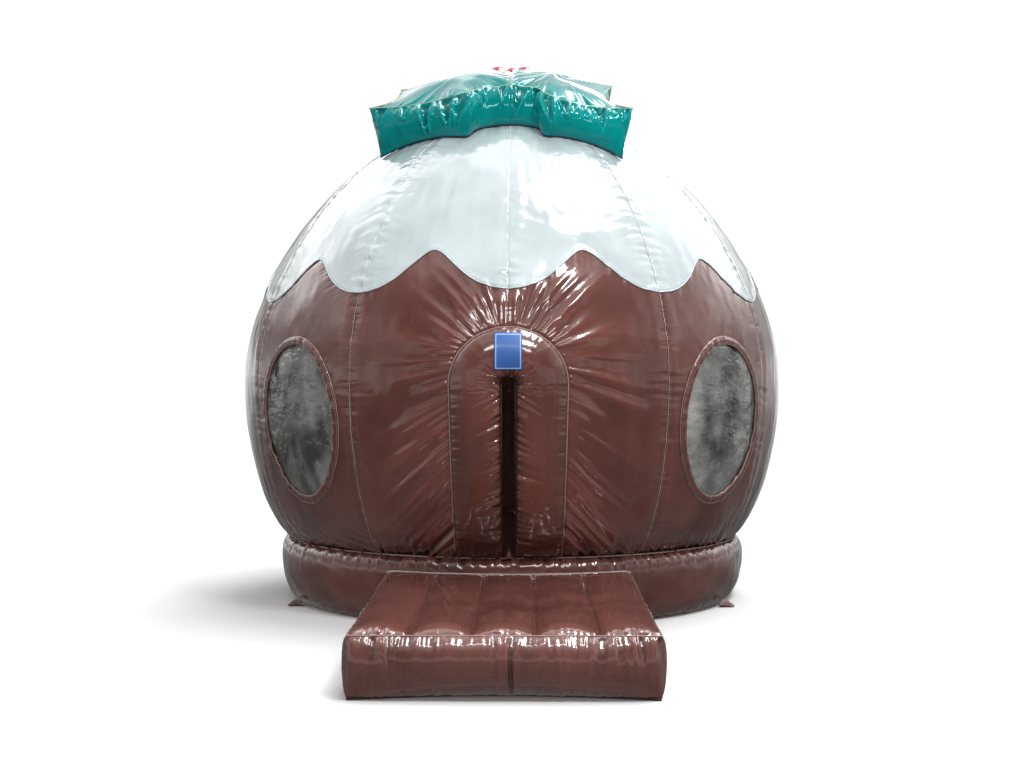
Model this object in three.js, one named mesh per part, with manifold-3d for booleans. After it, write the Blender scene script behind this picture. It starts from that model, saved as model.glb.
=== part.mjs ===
// An air-inflated bouncer dome in the shape of a Christmas pudding, in millimetres, +Z up.
// The origin is on the ground under the dome's axis, and the door and the entry step face -Y.
// An azimuth is counted in degrees from the front (-Y), growing towards +X.

import * as THREE from "three";
import { mergeVertices } from "three/addons/utils/BufferGeometryUtils.js";
import Module from "manifold-3d";

const wasm = await Module();
wasm.setup();

// ---------------------------------------------------------------- driving dimensions

const GAP = 0.4; // air between two pieces that meet

const DOME_RADIUS = 1830;
const DOME_WAIST_HEIGHT = 1468; // level of the widest place
const DOME_FOOT_RADIUS = 1510;
const CROWN_HEIGHT = 3285;
const FOOT_HANDLE = [154, 92]; // the way out and up in which the dome leaves its foot
const WAIST_HANDLES = [541, 622]; // how far the upright stretch reaches down and up
const CROWN_HANDLE = 1159; // how flat the crown is
const WALL = 40; // stand-in for the air-held fabric wall
const CROWN_PATCH_RADIUS = 150;
const GORE_COUNT = 12;
const GORE_ANGLE = 360 / GORE_COUNT;
const GORE_ROWS = 7; // facets of a gore's colour field from its foot to its top

const BASE_HEIGHT = 403;
const BASE_BULGE_RADIUS = 1585;
const BASE_BULGE_HEIGHT = 290;
const BASE_GROUND_RADIUS = 1447;
const BASE_GROUND_HANDLE = 88; // roundness of the lower edge
const BASE_TOP_HANDLES = [75, 45]; // roundness of the upper edge, up and out
const BASE_SIDES = 48;

const SCALLOP_PEAK_HEIGHT = 2172; // brown tip in the middle of each gore
const SCALLOP_TROUGH_HEIGHT = 1938; // icing drip on each seam
const SCALLOP_PEAK_HANDLE = 0.217; // how round the brown tips are, 0 to 1
const SCALLOP_TROUGH_HANDLE = 0.553; // how round the icing drips are, 0 to 1

const WINDOW_AZIMUTHS = [45, 135, 225, 315];
const WINDOW_HEIGHT = 1195; // centre of the pane above the ground
const WINDOW_HALF_ANGLE = 10.7;
const WINDOW_HALF_HEIGHT = 452;
const WINDOW_LAP = 20; // pane edge hidden under the band
const WINDOW_CLEARANCE = 2; // between the pane edge and the cut edge of the gore
const PANE_DEPTHS = [3, 13]; // the pane's faces behind the dome's face
const BAND_WIDTH = 47;
const BAND_LIFTS = [3, 13]; // the band's faces in front of the dome's face
const WINDOW_SIDES = 24;

const DOOR_HALF_WIDTH = 331;
const DOOR_FOOT_HALF_WIDTH = 305;
const DOOR_ARCH_HEIGHT = 1400; // where the straight legs turn into the arch
const DOOR_ARCH_RISE = 318;
const SLIT_HALF_WIDTH = 36;
const DOOR_BULGE = 75; // how far the pad swells outwards
const DOOR_INNER_BULGE = 55; // how far it swells into the dome
const DOOR_FOOT_SWELL = 0.35; // share of the bulge that is left at the sewn foot
const DOOR_SWELL_RISE = 260; // height over which the full bulge is reached

const PLAQUE_WIDTH = 155;
const PLAQUE_BOTTOM = 1476;
const PLAQUE_TOP = 1684;
const PLAQUE_LIFTS = [4, 8]; // its faces in front of the door pad

const STEP_HALF_WIDTH = 690;
const STEP_FRONT = -3215;
const STEP_FRONT_HEIGHT = 281;
const STEP_FRONT_BULGE = 24;
const STEP_FRONT_PULL = 90; // how far the front's lower edge is drawn back in its middle
const STEP_SIDE_BULGE = 16;
const STEP_BACK_RADIUS = 1700; // the back's upper edge keeps this distance from the dome's axis
const STEP_BACK_HEIGHT = 335;
const STEP_CONTACT_RADIUS = BASE_BULGE_RADIUS + 1.5; // where its back presses on the base
const STEP_CHANNELS = 5;
const STEP_CROWN = 30; // how far each channel swells above its seams

const TAB_AZIMUTHS = [62, 118, 180, 242, 298];
const TAB_RADII = [1537, 1612]; // root and tip
const TAB_HALF_WIDTHS = [78, 13];
const TAB_HEIGHTS = [46, 7];

const LEAF_LIFT = 6.5; // underside above the icing
const LEAF_THICKNESS = 286;
const LEAF_SWELL = 22; // extra height in the middle of a leaf
const LEAF_STEPS = 5; // points along each side of a leaf

const BERRY_RADIUS = 90;
const BERRIES = [
  { name: "left", x: -91, y: -350, z: 3486 },
  { name: "right", x: 91, y: -350, z: 3486 },
  { name: "back", x: 0, y: -191, z: 3521 }
];

/**
 * The corner points of one leaf's foot on the icing, seen from above, going round from the
 * middle of the front. Each has the reach of its side wall outwards and up, and the share of
 * its length by which the side that follows is drawn inwards.
 */
const LEFT_LEAF = [
  { x: -GAP / 2, y: -828, out: 12, up: 268, draw: 0.1 },
  { x: -186, y: -848, out: 18, up: 272, draw: 0.16 },
  { x: -257, y: -958, out: 42, up: 287, draw: 0.02 },
  { x: -847, y: -660, out: 77, up: 321, draw: 0.2 },
  { x: -684, y: -432, out: 62, up: 325, draw: 0.1 },
  { x: -385, y: -192, out: 30, up: 322, draw: 0.12 },
  { x: -GAP / 2, y: -130, out: 8, up: 285, draw: 0 }
];
const RIGHT_LEAF = [
  { x: GAP / 2, y: -828, out: 12, up: 268, draw: 0.1 },
  { x: 180, y: -850, out: 18, up: 272, draw: 0.16 },
  { x: 200, y: -967, out: 42, up: 270, draw: 0.06 },
  { x: 704, y: -899, out: 80, up: 308, draw: 0.2 },
  { x: 628, y: -418, out: 62, up: 322, draw: 0.1 },
  { x: 322, y: -187, out: 30, up: 330, draw: 0.12 },
  { x: GAP / 2, y: -130, out: 8, up: 285, draw: 0 }
];

// ---------------------------------------------------------------- colours

const BROWN = "#65423c";
const STEP_BROWN = "#6f4238";
const ICING = "#e3ebec";
const LEAF_GREEN = "#00827b";
const BERRY_RED = "#c8202c";
const PLAQUE_BLUE = "#2f66b0";
const PANE_GREY = "#9aa3a6";

const GLOSSY = 0.25; // roughness of coated fabric under tension
const SATIN = 0.5; // roughness of slack webbing and hems
const CLEAR = 0.05; // roughness of the window film

// ---------------------------------------------------------------- mesh helpers

const radians = THREE.MathUtils.degToRad;
const degrees = THREE.MathUtils.radToDeg;
const mix = THREE.MathUtils.lerp;
const clamp01 = (value) => THREE.MathUtils.clamp(value, 0, 1);
const steps = (count) => Array.from({ length: count + 1 }, (_, index) => index / count);
const plan = (x, y) => new THREE.Vector2(x, y);

/** A point at a radius, an azimuth in degrees and a height. */
const around = (radius, azimuth, height) =>
  new THREE.Vector3(radius * Math.sin(radians(azimuth)), -radius * Math.cos(radians(azimuth)), height);

/** Turns points and triangles into a geometry whose faces point outwards. */
function solid(points, triangles) {
  const [a, b, c] = [new THREE.Vector3(), new THREE.Vector3(), new THREE.Vector3()];
  let volume = 0;
  for (const [i, j, k] of triangles) {
    volume += a.copy(points[i]).dot(b.copy(points[j]).cross(c.copy(points[k])));
  }
  const outward = volume > 0 ? triangles : triangles.map(([i, j, k]) => [i, k, j]);
  const geometry = new THREE.BufferGeometry();
  const flat = points.flatMap((point) => [point.x, point.y, point.z]);
  geometry.setAttribute("position", new THREE.Float32BufferAttribute(flat, 3));
  geometry.setIndex(outward.flat());
  return geometry;
}

/** A plate between two grids of points, indexed grid[row][column], closed round its rim. */
function plate(outer, inner) {
  const rows = outer.length;
  const columns = outer[0].length;
  const points = [...outer.flat(), ...inner.flat()];
  const at = (side, row, column) => side * rows * columns + row * columns + column;
  const triangles = [];
  const quad = (p, q, r, s) => triangles.push([p, q, r], [p, r, s]);
  for (let row = 0; row + 1 < rows; row++) {
    for (let column = 0; column + 1 < columns; column++) {
      quad(at(0, row, column), at(0, row, column + 1), at(0, row + 1, column + 1), at(0, row + 1, column));
      quad(at(1, row, column), at(1, row + 1, column), at(1, row + 1, column + 1), at(1, row, column + 1));
    }
  }
  const lastRow = rows - 1;
  for (let column = 0; column + 1 < columns; column++) {
    const next = column + 1;
    quad(at(0, 0, column), at(1, 0, column), at(1, 0, next), at(0, 0, next));
    quad(at(0, lastRow, next), at(1, lastRow, next), at(1, lastRow, column), at(0, lastRow, column));
  }
  const last = columns - 1;
  for (let row = 0; row + 1 < rows; row++) {
    quad(at(0, row + 1, 0), at(1, row + 1, 0), at(1, row, 0), at(0, row, 0));
    quad(at(0, row, last), at(1, row, last), at(1, row + 1, last), at(0, row + 1, last));
  }
  return solid(points, triangles);
}

/** Joins closed rings of points into a tube, capped by a fan at each end or joined into a torus. */
function loft(rings, firstCap, lastCap) {
  const count = rings[0].length;
  const points = rings.flat();
  const triangles = [];
  const band = (from, to) => {
    for (let index = 0; index < count; index++) {
      const next = (index + 1) % count;
      triangles.push([from + index, from + next, to + next], [from + index, to + next, to + index]);
    }
  };
  for (let ring = 0; ring + 1 < rings.length; ring++) band(ring * count, (ring + 1) * count);
  const lastRing = (rings.length - 1) * count;
  if (!firstCap) {
    band(lastRing, 0);
    return solid(points, triangles);
  }
  points.push(firstCap, lastCap);
  for (let index = 0; index < count; index++) {
    const next = (index + 1) % count;
    triangles.push([rings.length * count, next, index]);
    triangles.push([rings.length * count + 1, lastRing + index, lastRing + next]);
  }
  return solid(points, triangles);
}

/** A manifold-3d solid of a closed geometry. */
function toManifold(geometry) {
  const bare = geometry.clone();
  bare.deleteAttribute("normal");
  bare.deleteAttribute("uv");
  const merged = mergeVertices(bare);
  const vertProperties = new Float32Array(merged.attributes.position.array);
  const triVerts = new Uint32Array(merged.index.array);
  return new wasm.Manifold(new wasm.Mesh({ numProp: 3, vertProperties, triVerts }));
}

/** The geometry that is left when the cutters are taken out of the first geometry. */
function cut(geometry, ...cutters) {
  let result = toManifold(geometry);
  for (const cutter of cutters) result = result.subtract(toManifold(cutter));
  const { vertProperties, numProp, triVerts } = result.getMesh();
  const output = new THREE.BufferGeometry();
  output.setAttribute("position", new THREE.Float32BufferAttribute(Array.from(vertProperties), numProp));
  output.setIndex(Array.from(triVerts));
  return output;
}

// ---------------------------------------------------------------- the dome's outline

/** Radius against height below and above the waist. */
const lowerOutline = new THREE.CubicBezierCurve(
  plan(DOME_FOOT_RADIUS, BASE_HEIGHT),
  plan(DOME_FOOT_RADIUS + FOOT_HANDLE[0], BASE_HEIGHT + FOOT_HANDLE[1]),
  plan(DOME_RADIUS, DOME_WAIST_HEIGHT - WAIST_HANDLES[0]),
  plan(DOME_RADIUS, DOME_WAIST_HEIGHT)
);
const upperOutline = new THREE.CubicBezierCurve(
  plan(DOME_RADIUS, DOME_WAIST_HEIGHT),
  plan(DOME_RADIUS, DOME_WAIST_HEIGHT + WAIST_HANDLES[1]),
  plan(CROWN_HANDLE, CROWN_HEIGHT),
  plan(0, CROWN_HEIGHT)
);

/** Place on the outline: 0 at the foot, 1 at the waist, 2 at the crown. */
const outlinePoint = (place) =>
  place < 1 ? lowerOutline.getPoint(place) : upperOutline.getPoint(place - 1);
const outlineNormal = (place) => {
  const tangent = place < 1 ? lowerOutline.getTangent(place) : upperOutline.getTangent(place - 1);
  return plan(tangent.y, -tangent.x);
};

/** Finds the place on the outline where test(point) turns true, going up. */
function findOnOutline(test) {
  const halvings = 40;
  let [low, high] = [0, 2];
  for (let round = 0; round < halvings; round++) {
    const middle = (low + high) / 2;
    if (test(outlinePoint(middle))) high = middle;
    else low = middle;
  }
  return (low + high) / 2;
}
const placeAtHeight = (height) => findOnOutline((point) => point.y >= height);
const placeAtUpperRadius = (radius) =>
  findOnOutline((point) => point.y > DOME_WAIST_HEIGHT && point.x <= radius);
const radiusAtHeight = (height) => outlinePoint(placeAtHeight(height)).x;

/** A point of the dome's outer face, moved along its normal, and sideways along the face. */
function domePoint(azimuth, place, offset, sideways) {
  const point = outlinePoint(place).addScaledVector(outlineNormal(place), offset);
  return around(point.x, azimuth + degrees(sideways / point.x), point.y);
}

// ---------------------------------------------------------------- gores

/** The scalloped join of one gore: [share of the gore's angle, height] from seam to seam. */
function scallop() {
  const half = new THREE.CubicBezierCurve(
    plan(0, SCALLOP_PEAK_HEIGHT),
    plan(SCALLOP_PEAK_HANDLE, SCALLOP_PEAK_HEIGHT),
    plan(1 - SCALLOP_TROUGH_HANDLE, SCALLOP_TROUGH_HEIGHT),
    plan(1, SCALLOP_TROUGH_HEIGHT)
  );
  const right = steps(4).map((t) => half.getPoint(t));
  const left = right.slice(1).reverse();
  return [...left.map((p) => [0.5 - p.x / 2, p.y]), ...right.map((p) => [0.5 + p.x / 2, p.y])];
}

/** One sewn panel; rows(height) gives its places on the outline in a column of that scallop height. */
function gore(index, columns, rows) {
  const grid = (offset) => {
    const lines = columns.map(([share, height]) => {
      const side = share === 0 ? GAP / 2 : share === 1 ? -GAP / 2 : 0;
      return rows(height).map((place) => domePoint((index + share) * GORE_ANGLE, place, offset, side));
    });
    return lines[0].map((_, row) => lines.map((line) => line[row]));
  };
  return plate(grid(0), grid(-WALL));
}

function puddingRows(scallopHeight) {
  const [foot, top] = [placeAtHeight(BASE_HEIGHT + GAP), placeAtHeight(scallopHeight - GAP / 2)];
  return steps(GORE_ROWS).map((t) => mix(foot, top, t));
}

function icingRows(scallopHeight) {
  const foot = placeAtHeight(scallopHeight + GAP / 2);
  const top = placeAtUpperRadius(CROWN_PATCH_RADIUS + GAP);
  return steps(GORE_ROWS).map((t) => mix(foot, top, t));
}

/** The round patch over the place where all the gores meet. */
function crownPatch() {
  const edge = placeAtUpperRadius(CROWN_PATCH_RADIUS);
  const outside = steps(2).map((t) => outlinePoint(mix(edge, 2, t)));
  const rim = outlinePoint(edge).addScaledVector(outlineNormal(edge), -WALL);
  const profile = [plan(0, CROWN_HEIGHT - WALL), rim, ...outside];
  return new THREE.LatheGeometry(profile, 2 * GORE_COUNT).rotateX(Math.PI / 2);
}

// ---------------------------------------------------------------- windows

/** Points of an ellipse on the dome, grown by a margin, at a horizontal offset from its face. */
function windowRing(azimuth, margin, offset) {
  const halfAngle = WINDOW_HALF_ANGLE + degrees(margin / DOME_RADIUS);
  const halfHeight = WINDOW_HALF_HEIGHT + margin;
  return steps(WINDOW_SIDES)
    .slice(1)
    .map((turn) => {
      const height = WINDOW_HEIGHT + halfHeight * Math.sin(2 * Math.PI * turn);
      const side = azimuth + halfAngle * Math.cos(2 * Math.PI * turn);
      return around(radiusAtHeight(height) + offset, side, height);
    });
}

/** A disc over the window's ellipse between two horizontal offsets from the dome's face. */
function windowDisc(azimuth, margin, outside, inside) {
  const centre = (offset) => around(radiusAtHeight(WINDOW_HEIGHT) + offset, azimuth, WINDOW_HEIGHT);
  const rings = [windowRing(azimuth, margin, outside), windowRing(azimuth, margin, inside)];
  return loft(rings, centre(outside), centre(inside));
}

const windowPane = (azimuth) => windowDisc(azimuth, WINDOW_LAP, -PANE_DEPTHS[0], -PANE_DEPTHS[1]);
const windowCutter = (azimuth) => windowDisc(azimuth, WINDOW_LAP + WINDOW_CLEARANCE, WALL, -3 * WALL);

function windowBand(azimuth) {
  const [low, high] = BAND_LIFTS;
  const section = [[0, low], [0, high], [BAND_WIDTH, high], [BAND_WIDTH, low]];
  return loft(section.map(([margin, lift]) => windowRing(azimuth, margin, lift)));
}

// ---------------------------------------------------------------- door

/** Distance of the dome's face from the plane through its axis, at a place across and up. */
const faceDistance = (x, z) => Math.sqrt(radiusAtHeight(z) ** 2 - x ** 2);

const SLIT_SHARE = SLIT_HALF_WIDTH / DOOR_HALF_WIDTH;

/** The door pad's path at a share of its width: up one leg, over the arch and down the other. */
function doorPath(share) {
  const leg = (side) => (t) => {
    const outerHalf = mix(DOOR_FOOT_HALF_WIDTH, DOOR_HALF_WIDTH, t);
    const half = mix(SLIT_HALF_WIDTH, outerHalf, share);
    return plan(side * half, mix(BASE_HEIGHT + GAP, DOOR_ARCH_HEIGHT, t));
  };
  const reach = mix(SLIT_SHARE, 1, share);
  const arch = (t) => {
    const rise = DOOR_ARCH_RISE * reach * Math.sin(Math.PI * t);
    return plan(DOOR_HALF_WIDTH * reach * Math.cos(Math.PI * t), DOOR_ARCH_HEIGHT + rise);
  };
  return [...steps(6).map(leg(1)), ...steps(12).slice(1, -1).map(arch), ...steps(6).reverse().map(leg(-1))];
}

/** How far the pad swells at a share of its width, less at its sewn foot. */
function doorSwell(share, height) {
  const settled = clamp01((height - BASE_HEIGHT) / DOOR_SWELL_RISE);
  const fullness = mix(DOOR_FOOT_SWELL, 1, Math.sin((settled * Math.PI) / 2));
  return Math.sqrt(4 * share * (1 - share)) * fullness;
}

/** The padded arch: two columns joined at the top, with an open slit between them. */
function doorPad() {
  const shares = [0, 0.07, 0.24, 0.5, 0.76, 0.93, 1];
  const face = (bulge, depth) =>
    shares.map((share) =>
      doorPath(share).map(({ x, y: z }) => {
        const distance = faceDistance(x, z) - depth + bulge * doorSwell(share, z);
        return new THREE.Vector3(x, -distance, z);
      })
    );
  return plate(face(DOOR_BULGE, 0), face(-DOOR_INNER_BULGE, WALL));
}

/** The arch that is left open in the two front gores for the door pad. */
function doorCutter() {
  const grown = doorPath(1).map(({ x, y }) => {
    const up = Math.max(0, y - DOOR_ARCH_HEIGHT) / DOOR_ARCH_RISE;
    const across = Math.sign(x) * Math.sqrt(Math.max(0, 1 - up ** 2));
    return plan(x + GAP * across, y + GAP * up);
  });
  const foot = BASE_HEIGHT - WALL;
  const outline = [plan(grown[0].x, foot), ...grown, plan(grown.at(-1).x, foot)];
  const ring = (y) => outline.map((point) => new THREE.Vector3(point.x, y, point.y));
  const centre = (y) => new THREE.Vector3(0, y, DOOR_ARCH_HEIGHT / 2);
  const [front, back] = [-DOME_RADIUS - 3 * WALL, -DOME_RADIUS / 2];
  return loft([ring(front), ring(back)], centre(front), centre(back));
}

/** A blank patch that lies on the pad above the slit. */
function plaque() {
  const padDistance = (x, z) => {
    const reach = Math.hypot(x / DOOR_HALF_WIDTH, (z - DOOR_ARCH_HEIGHT) / DOOR_ARCH_RISE);
    const share = clamp01((reach - SLIT_SHARE) / (1 - SLIT_SHARE));
    return faceDistance(x, z) + DOOR_BULGE * doorSwell(share, z);
  };
  const face = (lift) =>
    steps(6).map((up) =>
      steps(4).map((across) => {
        const x = mix(-0.5, 0.5, across) * PLAQUE_WIDTH;
        const z = mix(PLAQUE_BOTTOM, PLAQUE_TOP, up);
        return new THREE.Vector3(x, -padDistance(x, z) - lift, z);
      })
    );
  return plate(face(PLAQUE_LIFTS[1]), face(PLAQUE_LIFTS[0]));
}

// ---------------------------------------------------------------- base, step and tabs

/** The drum-shaped air mattress under the dome, flat below and above. */
function baseMattress() {
  const lower = new THREE.CubicBezierCurve(
    plan(BASE_GROUND_RADIUS, 0),
    plan(BASE_GROUND_RADIUS + BASE_GROUND_HANDLE, 0),
    plan(BASE_BULGE_RADIUS, BASE_BULGE_HEIGHT / 2),
    plan(BASE_BULGE_RADIUS, BASE_BULGE_HEIGHT)
  );
  const upper = new THREE.CubicBezierCurve(
    plan(BASE_BULGE_RADIUS, BASE_BULGE_HEIGHT),
    plan(BASE_BULGE_RADIUS, BASE_BULGE_HEIGHT + BASE_TOP_HANDLES[0]),
    plan(DOME_FOOT_RADIUS + BASE_TOP_HANDLES[1], BASE_HEIGHT),
    plan(DOME_FOOT_RADIUS, BASE_HEIGHT)
  );
  const profile = [plan(0, 0), ...lower.getPoints(5), ...upper.getPoints(4).slice(1), plan(0, BASE_HEIGHT)];
  return new THREE.LatheGeometry(profile, BASE_SIDES).rotateX(Math.PI / 2);
}

/** A cut through the step at a place across, from -1 to 1: its lower front edge, then round over its top. */
function stepSection(across) {
  const x = across * STEP_HALF_WIDTH;
  const sewn = Math.abs(across) === 1;
  const middleness = Math.cos((Math.PI / 2) * across);
  const crown = STEP_CROWN * Math.abs(Math.sin((Math.PI * STEP_CHANNELS * (across + 1)) / 2)) ** 0.7;
  const atRadius = (radius) => -Math.sqrt(radius ** 2 - x ** 2);
  const point = (y, z) => new THREE.Vector3(x, y, z);
  const front = [0, 0.3, 0.65].map((up) => {
    const bulge = sewn ? 0 : STEP_FRONT_BULGE * Math.sin(Math.PI * up);
    return point(STEP_FRONT + STEP_FRONT_PULL * middleness * (1 - up) ** 2 - bulge, STEP_FRONT_HEIGHT * up);
  });
  const top = [0, 0.05, 0.5, 0.95, 1].map((t) => {
    const swell = t > 0 && t < 1 ? crown : 0;
    const height = mix(STEP_FRONT_HEIGHT, STEP_BACK_HEIGHT, t) + swell;
    return point(mix(STEP_FRONT, atRadius(STEP_BACK_RADIUS), t), height);
  });
  const back = [0.85, 0.4, 0].map((up) => {
    const radius = up > 0 ? STEP_CONTACT_RADIUS : (STEP_CONTACT_RADIUS + STEP_BACK_RADIUS) / 2;
    return point(atRadius(radius), STEP_BACK_HEIGHT * up);
  });
  return [...front, ...top, ...back];
}

/** The entry step: quilted lengthwise, its front face drawn in along the ground. */
function entryStep() {
  const sections = steps(STEP_CHANNELS * 4).map((t) => stepSection(mix(-1, 1, t)));
  const middleY = (STEP_FRONT - STEP_BACK_RADIUS) / 2;
  const sideCap = (side) => {
    const x = side * (STEP_HALF_WIDTH + STEP_SIDE_BULGE);
    return new THREE.Vector3(x, middleY, STEP_FRONT_HEIGHT / 2);
  };
  return loft(sections, sideCap(-1), sideCap(1));
}

/** A triangular anchor tab that runs from the base's lower edge to a peg point on the ground. */
function anchorTab(azimuth) {
  const corner = (end, side, top) => {
    const across = degrees((side * TAB_HALF_WIDTHS[end]) / TAB_RADII[end]);
    return around(TAB_RADII[end], azimuth + across, top ? TAB_HEIGHTS[end] : 0);
  };
  const face = (top) => [0, 1].map((end) => [corner(end, -1, top), corner(end, 1, top)]);
  return plate(face(true), face(false));
}

// ---------------------------------------------------------------- holly

/** Walks round a leaf: its foot points, side after side, with the reach of its wall there. */
function leafOutline(corners) {
  const hand = Math.sign(corners[2].x);
  return corners.flatMap((corner, index) => {
    const next = corners[(index + 1) % corners.length];
    const inward = plan(corner.y - next.y, next.x - corner.x).multiplyScalar(hand);
    return steps(LEAF_STEPS)
      .slice(0, -1)
      .map((t) => {
        const sag = 4 * t * (1 - t) * corner.draw;
        return {
          x: mix(corner.x, next.x, t) + inward.x * sag,
          y: mix(corner.y, next.y, t) + inward.y * sag,
          out: mix(corner.out, next.out, t),
          up: mix(corner.up, next.up, t)
        };
      });
  });
}

/** An inflated leaf cushion that lies on the icing. */
function hollyLeaf(corners) {
  const outline = leafOutline(corners);
  const mean = (axis) => corners.reduce((sum, corner) => sum + corner[axis], 0) / corners.length;
  const middle = plan(mean("x"), mean("y"));
  const icingHeight = (x, y) => outlinePoint(placeAtUpperRadius(Math.hypot(x, y))).y;
  const footRing = (share) =>
    outline.map(({ x, y }) => {
      const [px, py] = [mix(middle.x, x, share), mix(middle.y, y, share)];
      return new THREE.Vector3(px, py, icingHeight(px, py) + LEAF_LIFT);
    });
  const topRing = (share) =>
    outline.map(({ x, y, out, up }) => {
      const away = plan(x - middle.x, y - middle.y).setLength(out);
      const onMiddleSeam = Math.abs(x) <= GAP;
      const rim = plan(onMiddleSeam ? x : x + away.x, y + away.y);
      const [px, py] = [mix(middle.x, rim.x, share), mix(middle.y, rim.y, share)];
      const swollen = icingHeight(px, py) + LEAF_THICKNESS + LEAF_SWELL * (1 - share ** 2);
      const sewn = icingHeight(x, y) + LEAF_LIFT + up;
      return new THREE.Vector3(px, py, mix(swollen, sewn, share ** 5));
    });
  const centre = (height) =>
    new THREE.Vector3(middle.x, middle.y, icingHeight(middle.x, middle.y) + height);
  const rings = [...[0.33, 0.67, 1].map(footRing), ...[1, 0.85, 0.5].map(topRing)];
  return loft(rings, centre(LEAF_LIFT), centre(LEAF_THICKNESS + LEAF_SWELL));
}

function berry({ x, y, z }, margin) {
  const ball = new THREE.SphereGeometry(BERRY_RADIUS + margin, 12, 8);
  return ball.rotateX(Math.PI / 2).translate(x, y, z);
}

// ---------------------------------------------------------------- assembly

const pudding = new THREE.Group();

/** Adds one named piece to the object. */
function add(name, geometry, color, roughness) {
  const material = new THREE.MeshStandardMaterial({ color, roughness, metalness: 0 });
  const mesh = new THREE.Mesh(geometry, material);
  mesh.name = name;
  pudding.add(mesh);
}

add("base_mattress", baseMattress(), BROWN, GLOSSY);
TAB_AZIMUTHS.forEach((azimuth, index) => add(`anchor_tab_${index + 1}`, anchorTab(azimuth), BROWN, SATIN));
add("entry_step", entryStep(), STEP_BROWN, GLOSSY);

const scallopColumns = scallop();
for (let index = 0; index < GORE_COUNT; index++) {
  const label = String(index + 1).padStart(2, "0");
  const middleAzimuth = (index + 0.5) * GORE_ANGLE;
  const cutters = WINDOW_AZIMUTHS.includes(middleAzimuth) ? [windowCutter(middleAzimuth)] : [];
  if (index === 0 || index === GORE_COUNT - 1) cutters.push(doorCutter());
  const pudding = gore(index, scallopColumns, puddingRows);
  add(`pudding_gore_${label}`, cutters.length ? cut(pudding, ...cutters) : pudding, BROWN, GLOSSY);
  add(`icing_gore_${label}`, gore(index, scallopColumns, icingRows), ICING, GLOSSY);
}
add("crown_patch", crownPatch(), ICING, GLOSSY);

WINDOW_AZIMUTHS.forEach((azimuth, index) => {
  add(`window_pane_${index + 1}`, windowPane(azimuth), PANE_GREY, CLEAR);
  add(`window_band_${index + 1}`, windowBand(azimuth), BROWN, GLOSSY);
});

add("door_pad", doorPad(), BROWN, GLOSSY);
add("door_plaque", plaque(), PLAQUE_BLUE, GLOSSY);

const berrySockets = BERRIES.map((place) => berry(place, GAP));
add("holly_leaf_left", cut(hollyLeaf(LEFT_LEAF), ...berrySockets), LEAF_GREEN, GLOSSY);
add("holly_leaf_right", cut(hollyLeaf(RIGHT_LEAF), ...berrySockets), LEAF_GREEN, GLOSSY);
for (const place of BERRIES) add(`berry_${place.name}`, berry(place, 0), BERRY_RED, GLOSSY);

export default pudding;
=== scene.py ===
"""An air-inflated bouncer dome in the shape of a Christmas pudding, dressed round its CAD frame.

Lengths are in metres. The origin is on the ground under the dome's axis, and the door and the
entry step face -Y. An azimuth is an angle round the axis from the front, growing towards +X,
and an arc is a length up the dome's face from its foot.
"""

import math

import bpy
import numpy as np
from bpy.props import FloatProperty, FloatVectorProperty, IntProperty, PointerProperty
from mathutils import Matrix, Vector


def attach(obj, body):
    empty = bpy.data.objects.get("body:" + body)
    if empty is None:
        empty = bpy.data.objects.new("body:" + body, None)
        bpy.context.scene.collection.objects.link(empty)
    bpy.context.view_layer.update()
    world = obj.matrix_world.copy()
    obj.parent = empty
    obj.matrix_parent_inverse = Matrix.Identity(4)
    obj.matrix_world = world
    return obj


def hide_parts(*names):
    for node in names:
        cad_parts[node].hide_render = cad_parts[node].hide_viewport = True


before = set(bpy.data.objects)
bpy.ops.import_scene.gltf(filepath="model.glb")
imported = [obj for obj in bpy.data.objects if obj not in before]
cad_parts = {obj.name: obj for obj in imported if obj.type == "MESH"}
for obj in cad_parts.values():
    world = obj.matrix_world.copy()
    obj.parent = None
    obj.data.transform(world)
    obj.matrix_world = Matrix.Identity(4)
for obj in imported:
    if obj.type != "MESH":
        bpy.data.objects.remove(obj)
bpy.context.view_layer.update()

bl_info = {
    "name": "Pudding Dome",
    "version": (1, 0, 0),
    "blender": (4, 5, 0),
    "location": "View3D > Sidebar > Pudding Dome",
    "description": "Builds an inflatable pudding dome with its step, windows and holly",
    "category": "Add Mesh",
}

BODY = "root"

# -------- sizes of the sewn shapes

DOME_LOWER = ((1.510, 0.403), (1.664, 0.495), (1.830, 0.927), (1.830, 1.468))
DOME_UPPER = ((1.830, 1.468), (1.830, 2.090), (1.159, 3.285), (0.0, 3.285))
WAIST_HEIGHT = 1.468
WAIST_RADIUS = 1.830
CROWN_PATCH_RADIUS = 0.150
GORE_COUNT = 12
GORE_ANGLE = 2 * math.pi / GORE_COUNT
SEAM_GAP = 0.0002  # from a panel's edge to the seam's line
SKIN = 0.003  # thickness of the coated fabric
THICK_SKIN = 0.004  # thickness of the patch and the tabs
FILM = 0.001  # thickness of the windows' film
FOLD_FULL_PAINT_HEIGHT = 0.008  # height of a fold whose painted shade or painted highlight is full
FOLD_PAINTED_SHADE = (0.62, 1.22)  # colour share: painted shade in the deepest crease, painted highlight on the highest ridge
FOLD_PAINTED_SHADE_ON_WHITE = (0.88, 1.04)  # the same painted shade and highlight on the white fabric

BASE_HEIGHT = 0.403
BASE_RADIUS = 1.585
BASE_LOWER = ((1.447, 0.0), (1.535, 0.0), (1.585, 0.145), (1.585, 0.290))
BASE_UPPER = ((1.585, 0.290), (1.585, 0.365), (1.555, 0.403), (1.510, 0.403))

SCALLOP = ((0.0, 2.172), (0.217, 2.172), (0.447, 1.938), (1.0, 1.938))

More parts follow.
